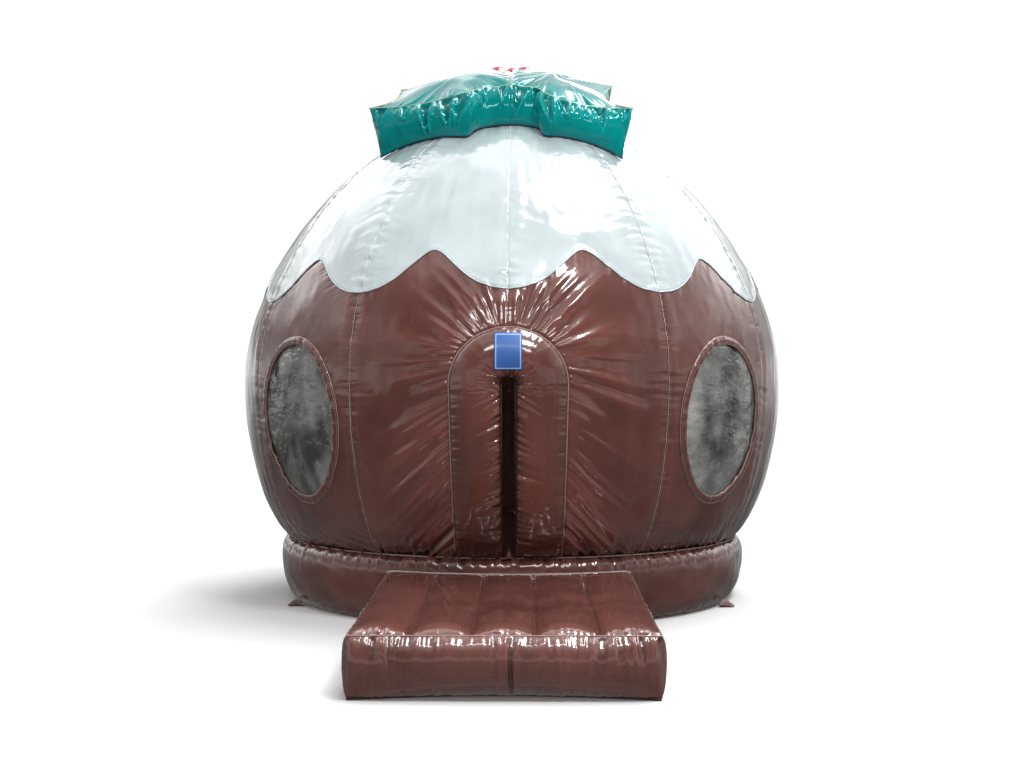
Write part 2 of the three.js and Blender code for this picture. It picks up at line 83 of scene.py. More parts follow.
WINDOW_AZIMUTHS = tuple(math.radians(angle) for angle in (45, 135, 225, 315))
WINDOW_HEIGHT = 1.195
WINDOW_HALF_ANGLE = math.radians(10.7)
WINDOW_HALF_HEIGHT = 0.452
WINDOW_LAP = 0.020  # how far the panel's cut edge and the pane go under the band
BAND_WIDTH = 0.047

DOOR_HALF_WIDTH = 0.331
DOOR_FOOT_HALF_WIDTH = 0.305
DOOR_ARCH_HEIGHT = 1.400
DOOR_ARCH_RISE = 0.318
SLIT_HALF_WIDTH = 0.036
DOOR_BULGE = 0.075
DOOR_INNER_BULGE = 0.055
DOOR_DEPTH = 0.040
DOOR_FOOT_SWELL = 0.35
DOOR_SWELL_RISE = 0.260
DOOR_EDGE_OUT = 1.004  # the raised edge runs this much outside the pad's seam
PAD_SLIT_PAINTED_SHADE = 0.0115  # painted shade: counts as this much crease depth, darkening the columns at the slit
PAD_FOOT_PAINTED_SHADE = 0.0085  # and the painted shade that darkens them towards their foot

TONGUE_HEIGHT = 0.082  # the fold of fabric that stands up in the slit's foot
TONGUE_HALF_WIDTH = 0.035
TONGUE_DEPTHS = (-1.560, -1.440)

PLAQUE_WIDTH = 0.155
PLAQUE_BOTTOM = 1.476
PLAQUE_TOP = 1.684

STEP_HALF_WIDTH = 0.690
STEP_FRONT = -3.215
STEP_FRONT_HEIGHT = 0.281
STEP_FRONT_PULL = 0.090
STEP_BACK_RADIUS = 1.700
STEP_BACK_HEIGHT = 0.335
STEP_CONTACT_RADIUS = 1.5865  # where the step's back presses on the base
STEP_FOOT_RADIUS = 1.643
STEP_CHANNELS = 5
STEP_CELL = 0.0115  # size of a cell of the cushion's mesh
STEP_ROWS = (26, 90, 12, 30)  # lines of the cushion's mesh: front, top, back and underside
STEP_CROWN = 0.036  # height of a channel over its seams
STEP_BELLY = 0.095
STEP_SIDE_SWELL = 0.026
STEP_TOP_PAINTED_LIGHT = 0.0020  # painted light: counts as this much ridge height, lightening the step's top

TAB_AZIMUTHS = tuple(math.radians(angle) for angle in (62, 118, 180, 242, 298))
TAB_RADII = (1.537, 1.612)
TAB_HALF_WIDTHS = (0.078, 0.013)
TAB_HEIGHTS = (0.046, 0.007)

LEAF_LIFT = 0.0065
LEAF_THICKNESS = 0.286
LEAF_SPACING = 0.0165  # between the points round a leaf
LEAF_WALL_ROWS = 17
LEAF_BELLY = 0.052  # how far a leaf's wall bulges
# Corners of a leaf's foot: x, y, reach of the wall outwards and up, share drawn inwards.
LEFT_LEAF = (
    (-0.0002, -0.828, 0.012, 0.268, 0.027),
    (-0.186, -0.848, 0.018, 0.272, 0.16),
    (-0.257, -0.958, 0.042, 0.287, 0.02),
    (-0.847, -0.660, 0.077, 0.321, 0.20),
    (-0.684, -0.432, 0.062, 0.325, 0.10),
    (-0.385, -0.192, 0.030, 0.322, 0.12),
    (-0.0002, -0.130, 0.008, 0.285, 0.0),
)
RIGHT_LEAF = (
    (0.0002, -0.828, 0.012, 0.268, 0.031),
    (0.180, -0.850, 0.018, 0.272, 0.16),
    (0.200, -0.967, 0.042, 0.270, 0.06),
    (0.704, -0.899, 0.080, 0.308, 0.20),
    (0.628, -0.418, 0.062, 0.322, 0.10),
    (0.322, -0.187, 0.030, 0.330, 0.12),
    (0.0002, -0.130, 0.008, 0.285, 0.0),
)

BERRY_RADIUS = 0.090
BERRIES = {
    "left": (-0.091, -0.350, 3.486),
    "right": (0.091, -0.350, 3.486),
    "back": (0.0, -0.191, 3.521),
}

# -------- small numeric helpers


def smooth(low, high, value):
    """0 below low, 1 above high, and an even S in between."""
    t = np.clip((np.asarray(value, float) - low) / (high - low), 0.0, 1.0)
    return t * t * (3.0 - 2.0 * t)


def mix(a, b, share):
    return a + (b - a) * share


def around(count):
    """Even angles once round."""
    return np.arange(count) * 2 * math.pi / count


def travelled(x, z):
    """Length along a line of points, from its first to each."""
    return np.concatenate([[0.0], np.cumsum(np.hypot(np.diff(x), np.diff(z)))])


def round_axis(radius, azimuth, z):
    """Places at an azimuth round the dome's axis."""
    flat = (radius * np.sin(azimuth), -radius * np.cos(azimuth), z)
    return np.stack(np.broadcast_arrays(*flat), axis=-1)


def grid_points(x, y, z):
    """Points from arrays of their coordinates, one after the other."""
    return np.stack(np.broadcast_arrays(x, y, z), axis=-1).reshape(-1, 3)


def sheet_shares(rows, columns):
    """Shares along a sheet, from 0 to 1, and across it, from -1 to 1."""
    return np.meshgrid(np.linspace(0.0, 1.0, rows), np.linspace(-1.0, 1.0, columns), indexing="ij")


def bezier(handles, t):
    """Points of a cubic curve at the shares t."""
    p = np.array(handles, float)
    t = np.asarray(t, float)[..., None]
    return (1 - t) ** 3 * p[0] + 3 * (1 - t) ** 2 * t * p[1] + 3 * (1 - t) * t**2 * p[2] + t**3 * p[3]


def ripple(along, spacing, seed):
    """An irregular smooth wave from -1 to 1 with about one ridge for each spacing."""
    knots = np.random.default_rng(seed).uniform(-1.0, 1.0, 1024)
    place = np.asarray(along, float) / spacing * 2.0 + 300.0
    whole = np.floor(place).astype(int)
    t = place - whole
    t = t * t * (3.0 - 2.0 * t)
    return mix(knots[whole % 1024], knots[(whole + 1) % 1024], t)


def swell_noise(a, b, seed):
    """A soft two-way noise from -1 to 1 with one cell for each unit of a and b."""
    lattice = np.random.default_rng(seed).uniform(-1.0, 1.0, (256, 256))
    a = np.asarray(a, float) + 90.0
    b = np.asarray(b, float) + 90.0
    ia, ib = np.floor(a).astype(int), np.floor(b).astype(int)
    ta, tb = a - ia, b - ib
    ta, tb = ta * ta * (3 - 2 * ta), tb * tb * (3 - 2 * tb)
    pick = lambda da, db: lattice[(ia + da) % 256, (ib + db) % 256]
    return mix(mix(pick(0, 0), pick(1, 0), ta), mix(pick(0, 1), pick(1, 1), ta), tb)


def puckers(along, off, spacing, depth, reach, seed):
    """Short folds that stand across a seam: along it, at a distance off it."""
    off = np.abs(off)
    length = reach * (0.65 + 0.6 * ripple(along, spacing * 2.3, seed + 1) ** 2)
    ridge = ripple(along, spacing, seed) + 0.35 * ripple(along, spacing * 0.55, seed + 2)
    return depth * ridge * np.exp(-((off / length) ** 1.4))


def folds(along, off, *kinds):
    """Puckers of several kinds, each a spacing, depth, reach and seed, laid over each other."""
    return sum(puckers(along, off, *kind) for kind in kinds)


def darts(along, off, length, spacing, depth, reach, spread, seed):
    """Pairs of creases that start on a seam of that length and close to a point away from it."""
    rng = np.random.default_rng(seed)
    lift = np.zeros(np.shape(along))
    at = spacing * rng.uniform(0.2, 0.8)
    while at < length:
        far = reach * rng.uniform(0.45, 1.35)
        opening = spread * rng.uniform(0.45, 1.4)
        deep = depth * rng.uniform(0.5, 1.3)
        lean = rng.uniform(-0.25, 0.25)
        near = (np.abs(along - at) < far * (opening + 0.5)) & (off < far * 1.5)
        away = off[near]
        aside = along[near] - at - lean * away
        tip = np.maximum(far - away, 0.0)
        width = 0.0045 + 0.045 * tip
        ridge = np.exp(-(((np.abs(aside) - opening * tip) / width) ** 2))
        dent = np.exp(-((aside / (opening * tip + 0.008)) ** 4)) * tip / far
        tail = np.exp(-((aside / 0.007) ** 2)) * smooth(0.8, 1.0, away / far)
        fade = smooth(0.0, 0.012, away) * (1.0 - smooth(1.0, 1.4, away / far))
        lift[near] += deep * fade * (0.75 * ridge - 0.8 * dent - 0.5 * tail)
        at += spacing * rng.uniform(0.55, 1.6)
    return lift


# -------- the dome's face

_t = np.linspace(0.0, 1.0, 1500)
_face = np.vstack([bezier(DOME_LOWER, _t), bezier(DOME_UPPER, _t)[1:]])
FACE_RADIUS, FACE_HEIGHT = _face[:, 0], _face[:, 1]
FACE_ARC = travelled(FACE_RADIUS, FACE_HEIGHT)
FACE_OUT = np.gradient(FACE_HEIGHT, FACE_ARC)  # the outward normal's share along the radius
FACE_UP = -np.gradient(FACE_RADIUS, FACE_ARC)
_scallop = bezier(SCALLOP, _t)


def arc_at_height(height):
    return np.interp(height, FACE_HEIGHT, FACE_ARC)


def height_at(arc):
    return np.interp(arc, FACE_ARC, FACE_HEIGHT)


def radius_at(arc):
    return np.interp(arc, FACE_ARC, FACE_RADIUS)


def radius_at_height(height):
    return np.interp(height, FACE_HEIGHT, FACE_RADIUS)


def height_at_radius(radius):
    """Height of the dome's upper half over a distance from its axis."""
    upper = FACE_ARC > arc_at_height(WAIST_HEIGHT)
    return np.interp(radius, FACE_RADIUS[upper][::-1], FACE_HEIGHT[upper][::-1])


def scallop_arc(azimuth):
    """Arc of the icing's wavy edge at an azimuth."""
    share = np.abs(2.0 * np.mod(np.asarray(azimuth) / GORE_ANGLE, 1.0) - 1.0)
    return arc_at_height(np.interp(share, _scallop[:, 0], _scallop[:, 1]))


def face_normal(azimuth, arc):
    out, up = np.interp(arc, FACE_ARC, FACE_OUT), np.interp(arc, FACE_ARC, FACE_UP)
    return round_axis(out, azimuth, up)


def face_point(azimuth, arc, lift=0.0):
    """A place on the dome's face, moved out along its normal by lift."""
    flat = round_axis(radius_at(arc), azimuth, height_at(arc))
    return flat + face_normal(azimuth, arc) * np.asarray(lift)[..., None]


CROWN_ARC = FACE_ARC[-1]
PATCH_ARC = CROWN_ARC - CROWN_PATCH_RADIUS

# -------- the door's outline


def door_half(height):
    """Half width of the door pad's legs at a height."""
    t = np.clip((height - BASE_HEIGHT) / (DOOR_ARCH_HEIGHT - BASE_HEIGHT), 0.0, 1.0)
    return mix(DOOR_FOOT_HALF_WIDTH, DOOR_HALF_WIDTH, t)


def door_reach(x, z):
    """1 on the pad's outer seam, less inside it and more outside."""
    arch = np.hypot(x / DOOR_HALF_WIDTH, (z - DOOR_ARCH_HEIGHT) / DOOR_ARCH_RISE)
    return np.where(z > DOOR_ARCH_HEIGHT, arch, np.abs(x) / door_half(z))


def arch_line(count):
    """Half of the pad's outer seam from its top to its foot, as x, z and length so far."""
    turn = np.linspace(0.0, math.pi / 2, count)
    leg = np.linspace(DOOR_ARCH_HEIGHT, BASE_HEIGHT, 2 * count)[1:]
    x = np.concatenate([DOOR_HALF_WIDTH * np.sin(turn), door_half(leg)])
    z = np.concatenate([DOOR_ARCH_HEIGHT + DOOR_ARCH_RISE * np.cos(turn), leg])
    return x, z, travelled(x, z)


# Directions of the long folds outside the arch, in degrees above the horizontal, by length
# down the seam from its top.
FOLD_LENGTHS = (0.0, 0.12, 0.25, 0.33, 0.45, 0.60, 0.80, 1.10, 1.35, 1.51)
FOLD_DIRECTIONS = (90, 62, 32, 0, -15, -28, -40, -48, -45, -20)
FOLDS_SHARED = 0.10  # to this length the folds are alike on both sides
FOLDS_END = 1.52  # the last fold starts before this length


def fold_rays(x, z):
    """For places outside the arch: where down the seam their fold starts, and how far out they lie."""
    sx, sz, length = arch_line(90)
    angle = np.radians(np.interp(length, FOLD_LENGTHS, FOLD_DIRECTIONS))
    dx, dz = np.cos(angle), np.sin(angle)
    start, out = np.zeros(x.shape), np.zeros(x.shape)
    for first in range(0, x.size, 8000):
        part = slice(first, first + 8000)
        px, pz = x[part, None] - sx, z[part, None] - sz
        across = px * dz - pz * dx
        turned = (across[:, :-1] > 0) & (across[:, 1:] <= 0)
        found = turned.any(axis=1)
        index = np.where(found, turned.argmax(axis=1), len(sx) - 2)
        rows = np.arange(len(index))
        before, after = across[rows, index], across[rows, index + 1]
        t = np.where(found, before / np.maximum(before - after, 1e-9), 1.0)
        start[part] = mix(length[index], length[index + 1], t)
        out[part] = np.hypot(px[rows, index] * (1 - t) + px[rows, index + 1] * t,
                             pz[rows, index] * (1 - t) + pz[rows, index + 1] * t)
    return start, out


def fan_folds(azimuth, arc):
    """Lift of the long straight folds that run out from the door's arch."""
    x = radius_at(arc) * np.sin(azimuth)
    z = height_at(arc)
    lift = np.zeros(x.shape)
    near = (np.abs(azimuth) < GORE_ANGLE * 1.04) & (z < 2.4) & (door_reach(x, z) > 0.9)
    if not near.any():
        return lift
    px, pz, right = np.abs(x[near]), z[near], x[near] > 0
    start, out = fold_rays(px, pz)
    made = np.zeros(px.shape)
    for side, seed in ((False, 31), (True, 47)):
        here = right == side
        middle = np.random.default_rng(7)
        rng = np.random.default_rng(seed)
        at = 0.0
        while at < FOLDS_END:
            draw = middle if at < FOLDS_SHARED else rng
            above = 1.0 - float(smooth(0.14, 0.26, at))
            width = mix(draw.uniform(0.0075, 0.0165), draw.uniform(0.0052, 0.0090), above)
            height = width * mix(draw.uniform(0.40, 0.90), draw.uniform(0.60, 1.10), above)
            reach = draw.choice((0.12, 0.20, 0.34, 0.60)) * draw.uniform(0.8, 1.2)
            reach = mix(reach, max(reach, 0.24), above)
            lean = draw.uniform(-1.0, 1.0) * mix(0.03, 0.10, above) * smooth(0.0, 0.05, at)
            bend = start[here] - at - lean * out[here]
            ridge = np.exp(-((bend / (width * (1.0 + 1.3 * out[here]))) ** 2))
            fade = smooth(0.0, 0.022, out[here]) * (1.0 - smooth(0.35, 1.0, out[here] / reach))
            made[here] += height * ridge * fade
            at += width * draw.uniform(1.35, 2.8)
        foot = smooth(0.95, 1.35, start[here]) * (1.0 - smooth(0.15, 0.55, out[here]))
        made[here] += 0.011 * foot * ripple(start[here], 0.085, seed + 5)
        crumple = smooth(0.0, 0.04, out[here]) * smooth(0.34, 0.12, out[here])
        crumple *= smooth(0.26, 0.18, start[here])
        cells = start[here] * (44.0 if side else -44.0)
        made[here] += 0.0045 * crumple * swell_noise(cells, out[here] * 13.0, 39)
    made *= 1.0 - smooth(0.0, 0.05, arc[near] - scallop_arc(azimuth[near]))
    made *= 1.0 - smooth(0.86, 1.04, np.abs(azimuth[near]) / GORE_ANGLE)
    lift[near] = made
    return lift


# -------- relief of the dome's fabric


def window_polar(azimuth, height, centre):
    """Place round a window: the angle round it and the distance off its edge."""
    turn = np.angle(np.exp(1j * (azimuth - centre)))
    a, b = turn / WINDOW_HALF_ANGLE, (height - WINDOW_HEIGHT) / WINDOW_HALF_HEIGHT
    angle = np.arctan2(b, a)
    half_width = WINDOW_HALF_ANGLE * WAIST_RADIUS
    size = np.hypot(half_width * np.cos(angle), WINDOW_HALF_HEIGHT * np.sin(angle))
    return angle, (np.hypot(a, b) - 1.0) * size


def relief(azimuth, arc):
    """How far the dome's fabric stands off its smooth face, from seams, puckers and slack."""
    azimuth, arc = np.broadcast_arrays(np.asarray(azimuth, float), np.asarray(arc, float))
    azimuth, arc = azimuth.ravel(), arc.ravel()
    radius, height = radius_at(arc), height_at(arc)
    seam = np.round(azimuth / GORE_ANGLE)
    off = (azimuth - seam * GORE_ANGLE) * radius
    edge = arc - scallop_arc(azimuth)
    icing = smooth(-0.002, 0.002, edge)
    lift = mix(-0.0026, 0.0006, icing) * np.exp(-((off / 0.010) ** 2))
    lift += 0.003 * np.exp(-(((np.abs(off) - 0.055) / 0.035) ** 2))
    for number in range(GORE_COUNT):
        here = (seam % GORE_COUNT) == number
        if here.any():
            side = 0.006 * np.sign(off[here]) * smooth(0.0, 0.020, np.abs(off[here]))
            white = icing[here]
            seed = 100 + 7 * number
            calm = mix(0.60 if number else 0.10, 1.0, white)
            if number == 0:
                calm *= mix(1.0, 0.25, smooth(0.10, 0.30, edge[here]))
            lift[here] += calm * puckers(arc[here] + side, off[here], 0.055, 0.0042, 0.085, seed)
            fine = puckers(arc[here], off[here], 0.027, 0.0024, 0.045, seed + 3)
            lift[here] += calm * (1.0 - white) * fine
            slant = arc[here] + 0.50 * np.abs(off[here]) + 0.05 * ripple(arc[here], 0.3, seed + 4)
            slant += 4.0 * side
            lift[here] += calm * white * puckers(slant, off[here], 0.062, 0.0034, 0.130, seed + 5)
    lift += puckers(azimuth * radius, edge, 0.070, 0.0026, 0.075, 310)
    lift += puckers(azimuth * radius + 0.2 * off, arc, 0.052, 0.0095, 0.130, 420)
    lift += 0.0035 * swell_noise(azimuth * 9.0, arc * 3.4, 21)
    lift += 0.0016 * swell_noise(azimuth * 31.0, arc * 9.0, 22)
    lift += icing * 0.0016 * swell_noise(azimuth * radius * 3.0 + arc * 2.0, arc * 9.0, 23)
    for centre in WINDOW_AZIMUTHS:
        angle, away = window_polar(azimuth, height, centre)
        seed = 500 + int(round(math.degrees(centre)))
        lift += puckers(angle * 0.33, away, 0.052, 0.0042, 0.060, seed) * (away < 0.3)
    crown = smooth(0.45, 0.0, CROWN_ARC - arc)
    lift = lift * (1.0 - 0.6 * crown)
    lift += fan_folds(azimuth, arc)
    return lift


def dressed(azimuth, arc, lift=0.0):
    """A place on the dome's wrinkled fabric, and the direction away from it."""
    stand = relief(azimuth, arc).reshape(np.shape(azimuth)) + lift
    return face_point(azimuth, arc, stand), face_normal(azimuth, arc)


# -------- meshes and objects


def link(name, data):
    """A new object in the scene."""
    made = bpy.data.objects.new(name, data)
    bpy.context.scene.collection.objects.link(made)
    return made


def new_object(name, points, faces=(), edges=()):
    mesh = bpy.data.meshes.new(name)
    mesh.from_pydata(np.asarray(points, float).tolist(), [tuple(e) for e in edges],
                     [tuple(f) for f in faces])
    mesh.update()
    return link(name, mesh)


def shade_smooth(made):
    made.data.polygons.foreach_set("use_smooth", [True] * len(made.data.polygons))
    made.data.update()


def plain_mesh(made):
    """Keeps what the object's modifiers make as its own mesh, and removes them."""
    graph = bpy.context.evaluated_depsgraph_get()
    graph.update()
    mesh = bpy.data.meshes.new_from_object(made.evaluated_get(graph), depsgraph=graph)
    made.modifiers.clear()
    made.data = mesh
    mesh.name = made.name
    return made


def finish_piece(made, material, slot, *nodes):
    """Coats a finished piece and hands it to the frame."""
    made.data.materials.clear()
    made.data.materials.append(material)
    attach(made, BODY)
    if nodes:
        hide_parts(*nodes)


def grid_faces(rows, columns, wrap=False):
    """Quads of a grid indexed row * columns + column; wrap joins its last column to its first."""
    row = np.arange(rows - 1)[:, None] * columns
    column = np.arange(columns if wrap else columns - 1)[None, :]
    after = (column + 1) % columns
    a, b = row + column, row + after
    c, d = row + columns + after, row + columns + column
    return np.stack([a, b, c, d], axis=-1).reshape(-1, 4)


def fan(ring, tip):
    """Triangles from a closed ring of points to its tip."""
    return [(a, b, tip) for a, b in zip(ring, np.roll(ring, -1))]


def closed_form(name, points, faces, lift=None):
    """A closed smooth mesh with its faces pointing out, and any lift kept for the painted fold shade."""
    made = new_object(name, points, faces)
    if lift is not None:
        paint_fold_shade(made, lift)
    shade_smooth(made)
    return outward(made)


def store(mesh, name, values, domain="POINT"):
    """Keeps a number or a vector for each point or edge of a mesh under a name."""
    vector = np.ndim(values) == 2
    attribute = mesh.attributes.new(name, "FLOAT_VECTOR" if vector else "FLOAT", domain)
    attribute.data.foreach_set("vector" if vector else "value", np.ravel(values))


def read(items, key, width, kind=float):
    """One property of a mesh's points, edges or faces, a row for each."""
    values = np.zeros(len(items) * width, kind)
    items.foreach_get(key, values)
    return values.reshape(-1, width)


def mesh_points(mesh):
    return read(mesh.vertices, "co", 3)


def mesh_normals(mesh):
    return read(mesh.vertex_normals, "vector", 3)


def edge_ends(mesh):
    return read(mesh.edges, "vertices", 2, int)


def set_points(made, points):
    made.data.vertices.foreach_set("co", np.ravel(points))
    made.data.update()


def paint_fold_shade(made, lift):
    """Stores how far each point stands out as a ridge or lies in a crease; from it the fabric paints shade
    into the creases and highlight onto the ridges.
    """
    store(made.data, "fold", np.clip(np.ravel(lift) / FOLD_FULL_PAINT_HEIGHT, -1.0, 1.0))


def skin_piece(name, points, faces, thickness=SKIN, lift=None):
    """A sheet of fabric with its thickness added behind its face, and any lift kept for the painted fold
    shade.
    """
    used = np.unique(faces)
    order = np.full(len(points), -1)
    order[used] = np.arange(len(used))
    made = new_object(name, points[used], order[faces])
    if lift is not None:
        paint_fold_shade(made, lift[used])
    return thicken(made, thickness)


def thicken(made, thickness=SKIN):
    """Adds a sheet's thickness behind its face."""
    shade_smooth(made)
    wall = made.modifiers.new("skin", "SOLIDIFY")
    wall.thickness = thickness
    wall.offset = -1.0
    return outward(plain_mesh(made))


def outward(made):
    """Turns a closed mesh's faces so that they point out of it."""
    mesh = made.data
    mesh.calc_loop_triangles()
    corners = read(mesh.loop_triangles, "vertices", 3, int)
    a, b, c = mesh_points(mesh)[corners.T]
    if np.einsum("ij,ij->i", a, np.cross(b, c)).sum() < 0:
        mesh.flip_normals()
    return made


# -------- materials


def add(tree, kind, inputs=(), **values):
    """A new node, with values on its named properties and then on its inputs."""
    node = tree.nodes.new(kind)
    for key, value in values.items():
        setattr(node, key, value)
    for key, value in dict(inputs).items():
        node.inputs[key].default_value = value
    return node


def join(tree, *pairs):
    """Links outputs to inputs."""
    for output, socket in pairs:
        tree.links.new(output, socket)


def maths(tree, kind, *values):
    """One operation on sockets and plain numbers."""
    node = add(tree, "ShaderNodeMath", operation=kind)
    for socket, value in zip(node.inputs, values):
        if isinstance(value, (int, float)):
            socket.default_value = value
        else:
            tree.links.new(value, socket)
    return node.outputs[0]


def shader(name, color, **values):
    """A new material's node tree and its shader, with constant values on the shader's own sockets."""
    material = bpy.data.materials.new(name)
    material.use_nodes = True
    surface = material.node_tree.nodes["Principled BSDF"]
    surface.inputs["Base Color"].default_value = (*color[:3], 1.0)
    for key, value in values.items():
        surface.inputs[key.replace("_", " ").title().replace("Ior", "IOR")].default_value = value
    return material, material.node_tree, surface


def noise(tree, scale, detail=3.0, stretch=(1, 1, 1)):
    """A noise pattern on the object's own coordinates."""
    place = add(tree, "ShaderNodeTexCoord")
    mapping = add(tree, "ShaderNodeMapping", {"Scale": stretch})
    texture = add(tree, "ShaderNodeTexNoise", {"Scale": scale, "Detail": detail})
    join(tree, (place.outputs["Object"], mapping.inputs["Vector"]),
         (mapping.outputs["Vector"], texture.inputs["Vector"]))
    return texture.outputs["Fac"]


def ramp(tree, value, *stops):
    """A value turned into a colour between stops, each a position and a colour."""
    node = add(tree, "ShaderNodeValToRGB")
    elements = node.color_ramp.elements
    while len(elements) < len(stops):
        elements.new(0.5)
    for element, (position, color) in zip(elements, stops):
        element.position = position
        element.color = (*color[:3], 1.0)
    tree.links.new(value, node.inputs["Fac"])
    return node.outputs["Color"]


def clouded(tree, pattern, color, dark, light, low=0.3, high=0.7):
    """A colour that a pattern makes darker and lighter by shares."""
    return ramp(tree, pattern, (low, shaded(color, dark)), (high, shaded(color, light)))


def map_range(tree, value, low, high, start=0.0):
    node = add(tree, "ShaderNodeMapRange", {"From Min": start, "To Min": low, "To Max": high})
    tree.links.new(value, node.inputs["Value"])
    return node.outputs["Result"]


def bump(tree, value, distance, strength, under=None):
    node = add(tree, "ShaderNodeBump", {"Distance": distance, "Strength": strength})
    tree.links.new(value, node.inputs["Height"])
    if under is not None:
        tree.links.new(under, node.inputs["Normal"])
    return node.outputs["Normal"]


def shaded(color, factor):
    return tuple(channel * factor for channel in color[:3])


def coated_fabric(name, color, gloss, crinkle, shades):
    """Glossy plastic-coated fabric: faint cloudy colour, painted shade in creases and painted highlight on
    ridges by the stored fold height, uneven gloss, crinkles and a fine weave.
    """
    material, tree, surface = shader(name, color, coat_weight=1.0, coat_roughness=0.04)
    cloud = clouded(tree, noise(tree, 3.1, 4.0), color, 0.86, 1.12)
    # Painted shade and highlight: the colour is darkened in creases and lightened on ridges by the stored
    # fold height.
    lift = add(tree, "ShaderNodeAttribute", attribute_name="fold")
    shade = map_range(tree, lift.outputs["Fac"], *shades, start=-1.0)
    tint = add(tree, "ShaderNodeVectorMath", operation="SCALE")
    crinkles = bump(tree, noise(tree, 7.0), 0.020, crinkle)
    weave = bump(tree, noise(tree, 520.0, 1.0), 0.0006, 0.12, under=crinkles)
    uneven = map_range(tree, noise(tree, 9.0), gloss * 0.7, gloss * 1.45)
    join(tree, (cloud, tint.inputs[0]), (shade, tint.inputs["Scale"]),
         (tint.outputs["Vector"], surface.inputs["Base Color"]), (uneven, surface.inputs["Roughness"]),
         (weave, surface.inputs["Normal"]), (crinkles, surface.inputs["Coat Normal"]))
    return material


# -------- sewing with Geometry Nodes


def node_tree(name, sockets):
    """A geometry tree with a geometry in and out and named inputs; returns it and its ends."""
    tree = bpy.data.node_groups.new(name, "GeometryNodeTree")
    tree.interface.new_socket("Geometry", in_out="INPUT", socket_type="NodeSocketGeometry")
    for label, kind, default in sockets:
        socket = tree.interface.new_socket(label, in_out="INPUT", socket_type=kind)
        if default is not None:
            socket.default_value = default
    tree.interface.new_socket("Geometry", in_out="OUTPUT", socket_type="NodeSocketGeometry")
    return tree, add(tree, "NodeGroupInput").outputs, add(tree, "NodeGroupOutput")


def end_tree(tree, geometry, given, end):
    """Realizes, smooths and coats the geometry at the end of a tree."""
    real = add(tree, "GeometryNodeRealizeInstances")
    even = add(tree, "GeometryNodeSetShadeSmooth")
    paint = add(tree, "GeometryNodeSetMaterial")
    join(tree, (geometry, real.inputs["Geometry"]), (real.outputs["Geometry"], even.inputs["Geometry"]),
         (even.outputs["Geometry"], paint.inputs["Geometry"]),
         (given["Material"], paint.inputs["Material"]), (paint.outputs["Geometry"], end.inputs["Geometry"]))


def welt_tree(name):
    """Sweeps a round cord along every path of a mesh of edges."""
    tree, given, end = node_tree(name, (
        ("Radius", "NodeSocketFloat", 0.003),
        ("Sides", "NodeSocketInt", 6),
        ("Material", "NodeSocketMaterial", None),
    ))
    path = add(tree, "GeometryNodeMeshToCurve")
    circle = add(tree, "GeometryNodeCurvePrimitiveCircle")
    sweep = add(tree, "GeometryNodeCurveToMesh", {"Fill Caps": True})
    join(tree,
         (given["Geometry"], path.inputs["Mesh"]),
         (given["Radius"], circle.inputs["Radius"]),
         (given["Sides"], circle.inputs["Resolution"]),
         (path.outputs["Curve"], sweep.inputs["Curve"]),
         (circle.outputs["Curve"], sweep.inputs["Profile Curve"]))
    end_tree(tree, sweep.outputs["Mesh"], given, end)
    return tree


def stitch_tree(name):
    """Lays thread stitches end to end along every path of a mesh of edges, flat on the fabric."""
    tree, given, end = node_tree(name, (
        ("Pitch", "NodeSocketFloat", 0.018),
        ("Length", "NodeSocketFloat", 0.013),
        ("Width", "NodeSocketFloat", 0.003),
        ("Material", "NodeSocketMaterial", None),
    ))
    path = add(tree, "GeometryNodeMeshToCurve")
    beads = add(tree, "GeometryNodeResampleCurve", mode="LENGTH")
    thread = add(tree, "GeometryNodeMeshIcoSphere", {"Radius": 0.5, "Subdivisions": 1})
    size = add(tree, "ShaderNodeCombineXYZ")
    tangent = add(tree, "GeometryNodeInputTangent")
    away = add(tree, "GeometryNodeInputNamedAttribute", {"Name": "away"}, data_type="FLOAT_VECTOR")
    along = add(tree, "FunctionNodeAlignRotationToVector", axis="X")
    flat = add(tree, "FunctionNodeAlignRotationToVector", axis="Z", pivot_axis="X")
    place = add(tree, "GeometryNodeInstanceOnPoints")
    join(tree,
         (given["Geometry"], path.inputs["Mesh"]),
         (path.outputs["Curve"], beads.inputs["Curve"]),
         (given["Pitch"], beads.inputs["Length"]),
         (given["Length"], size.inputs["X"]),
         (given["Width"], size.inputs["Y"]),
         (given["Width"], size.inputs["Z"]),
         (tangent.outputs["Tangent"], along.inputs["Vector"]),
         (along.outputs["Rotation"], flat.inputs["Rotation"]),
         (away.outputs["Attribute"], flat.inputs["Vector"]),
         (beads.outputs["Curve"], place.inputs["Points"]),
         (thread.outputs["Mesh"], place.inputs["Instance"]),
         (flat.outputs["Rotation"], place.inputs["Rotation"]),
         (size.outputs["Vector"], place.inputs["Scale"]))
    end_tree(tree, place.outputs["Instances"], given, end)
    return tree


TREES = {"sewn_welt": welt_tree, "sewn_stitches": stitch_tree}
STITCH_LENGTH = 0.013
WELT_SIDES = 6


def sew(name, paths, kind, material, slot, **values):
    """Runs a tree along (points, away directions, closed) paths, and finishes the result as a piece."""
    edges, first = [], 0
    for line, _, closed in paths:
        count = len(line)
        edges += [(first + k, first + k + 1) for k in range(count - 1)]
        if closed:
            edges.append((first + count - 1, first))
        first += count
    made = new_object(name, np.vstack([line for line, _, _ in paths]), edges=edges)
    store(made.data, "away", np.vstack([away for _, away, _ in paths]))
    tree = bpy.data.node_groups.get(kind) or TREES[kind](kind)
    modifier = made.modifiers.new(kind, "NODES")
    modifier.node_group = tree
    values["material"] = material
    for item in tree.interface.items_tree:
        if item.in_out == "INPUT" and item.name.lower() in values:
            modifier[item.identifier] = values[item.name.lower()]
    finish_piece(plain_mesh(made), material, slot)


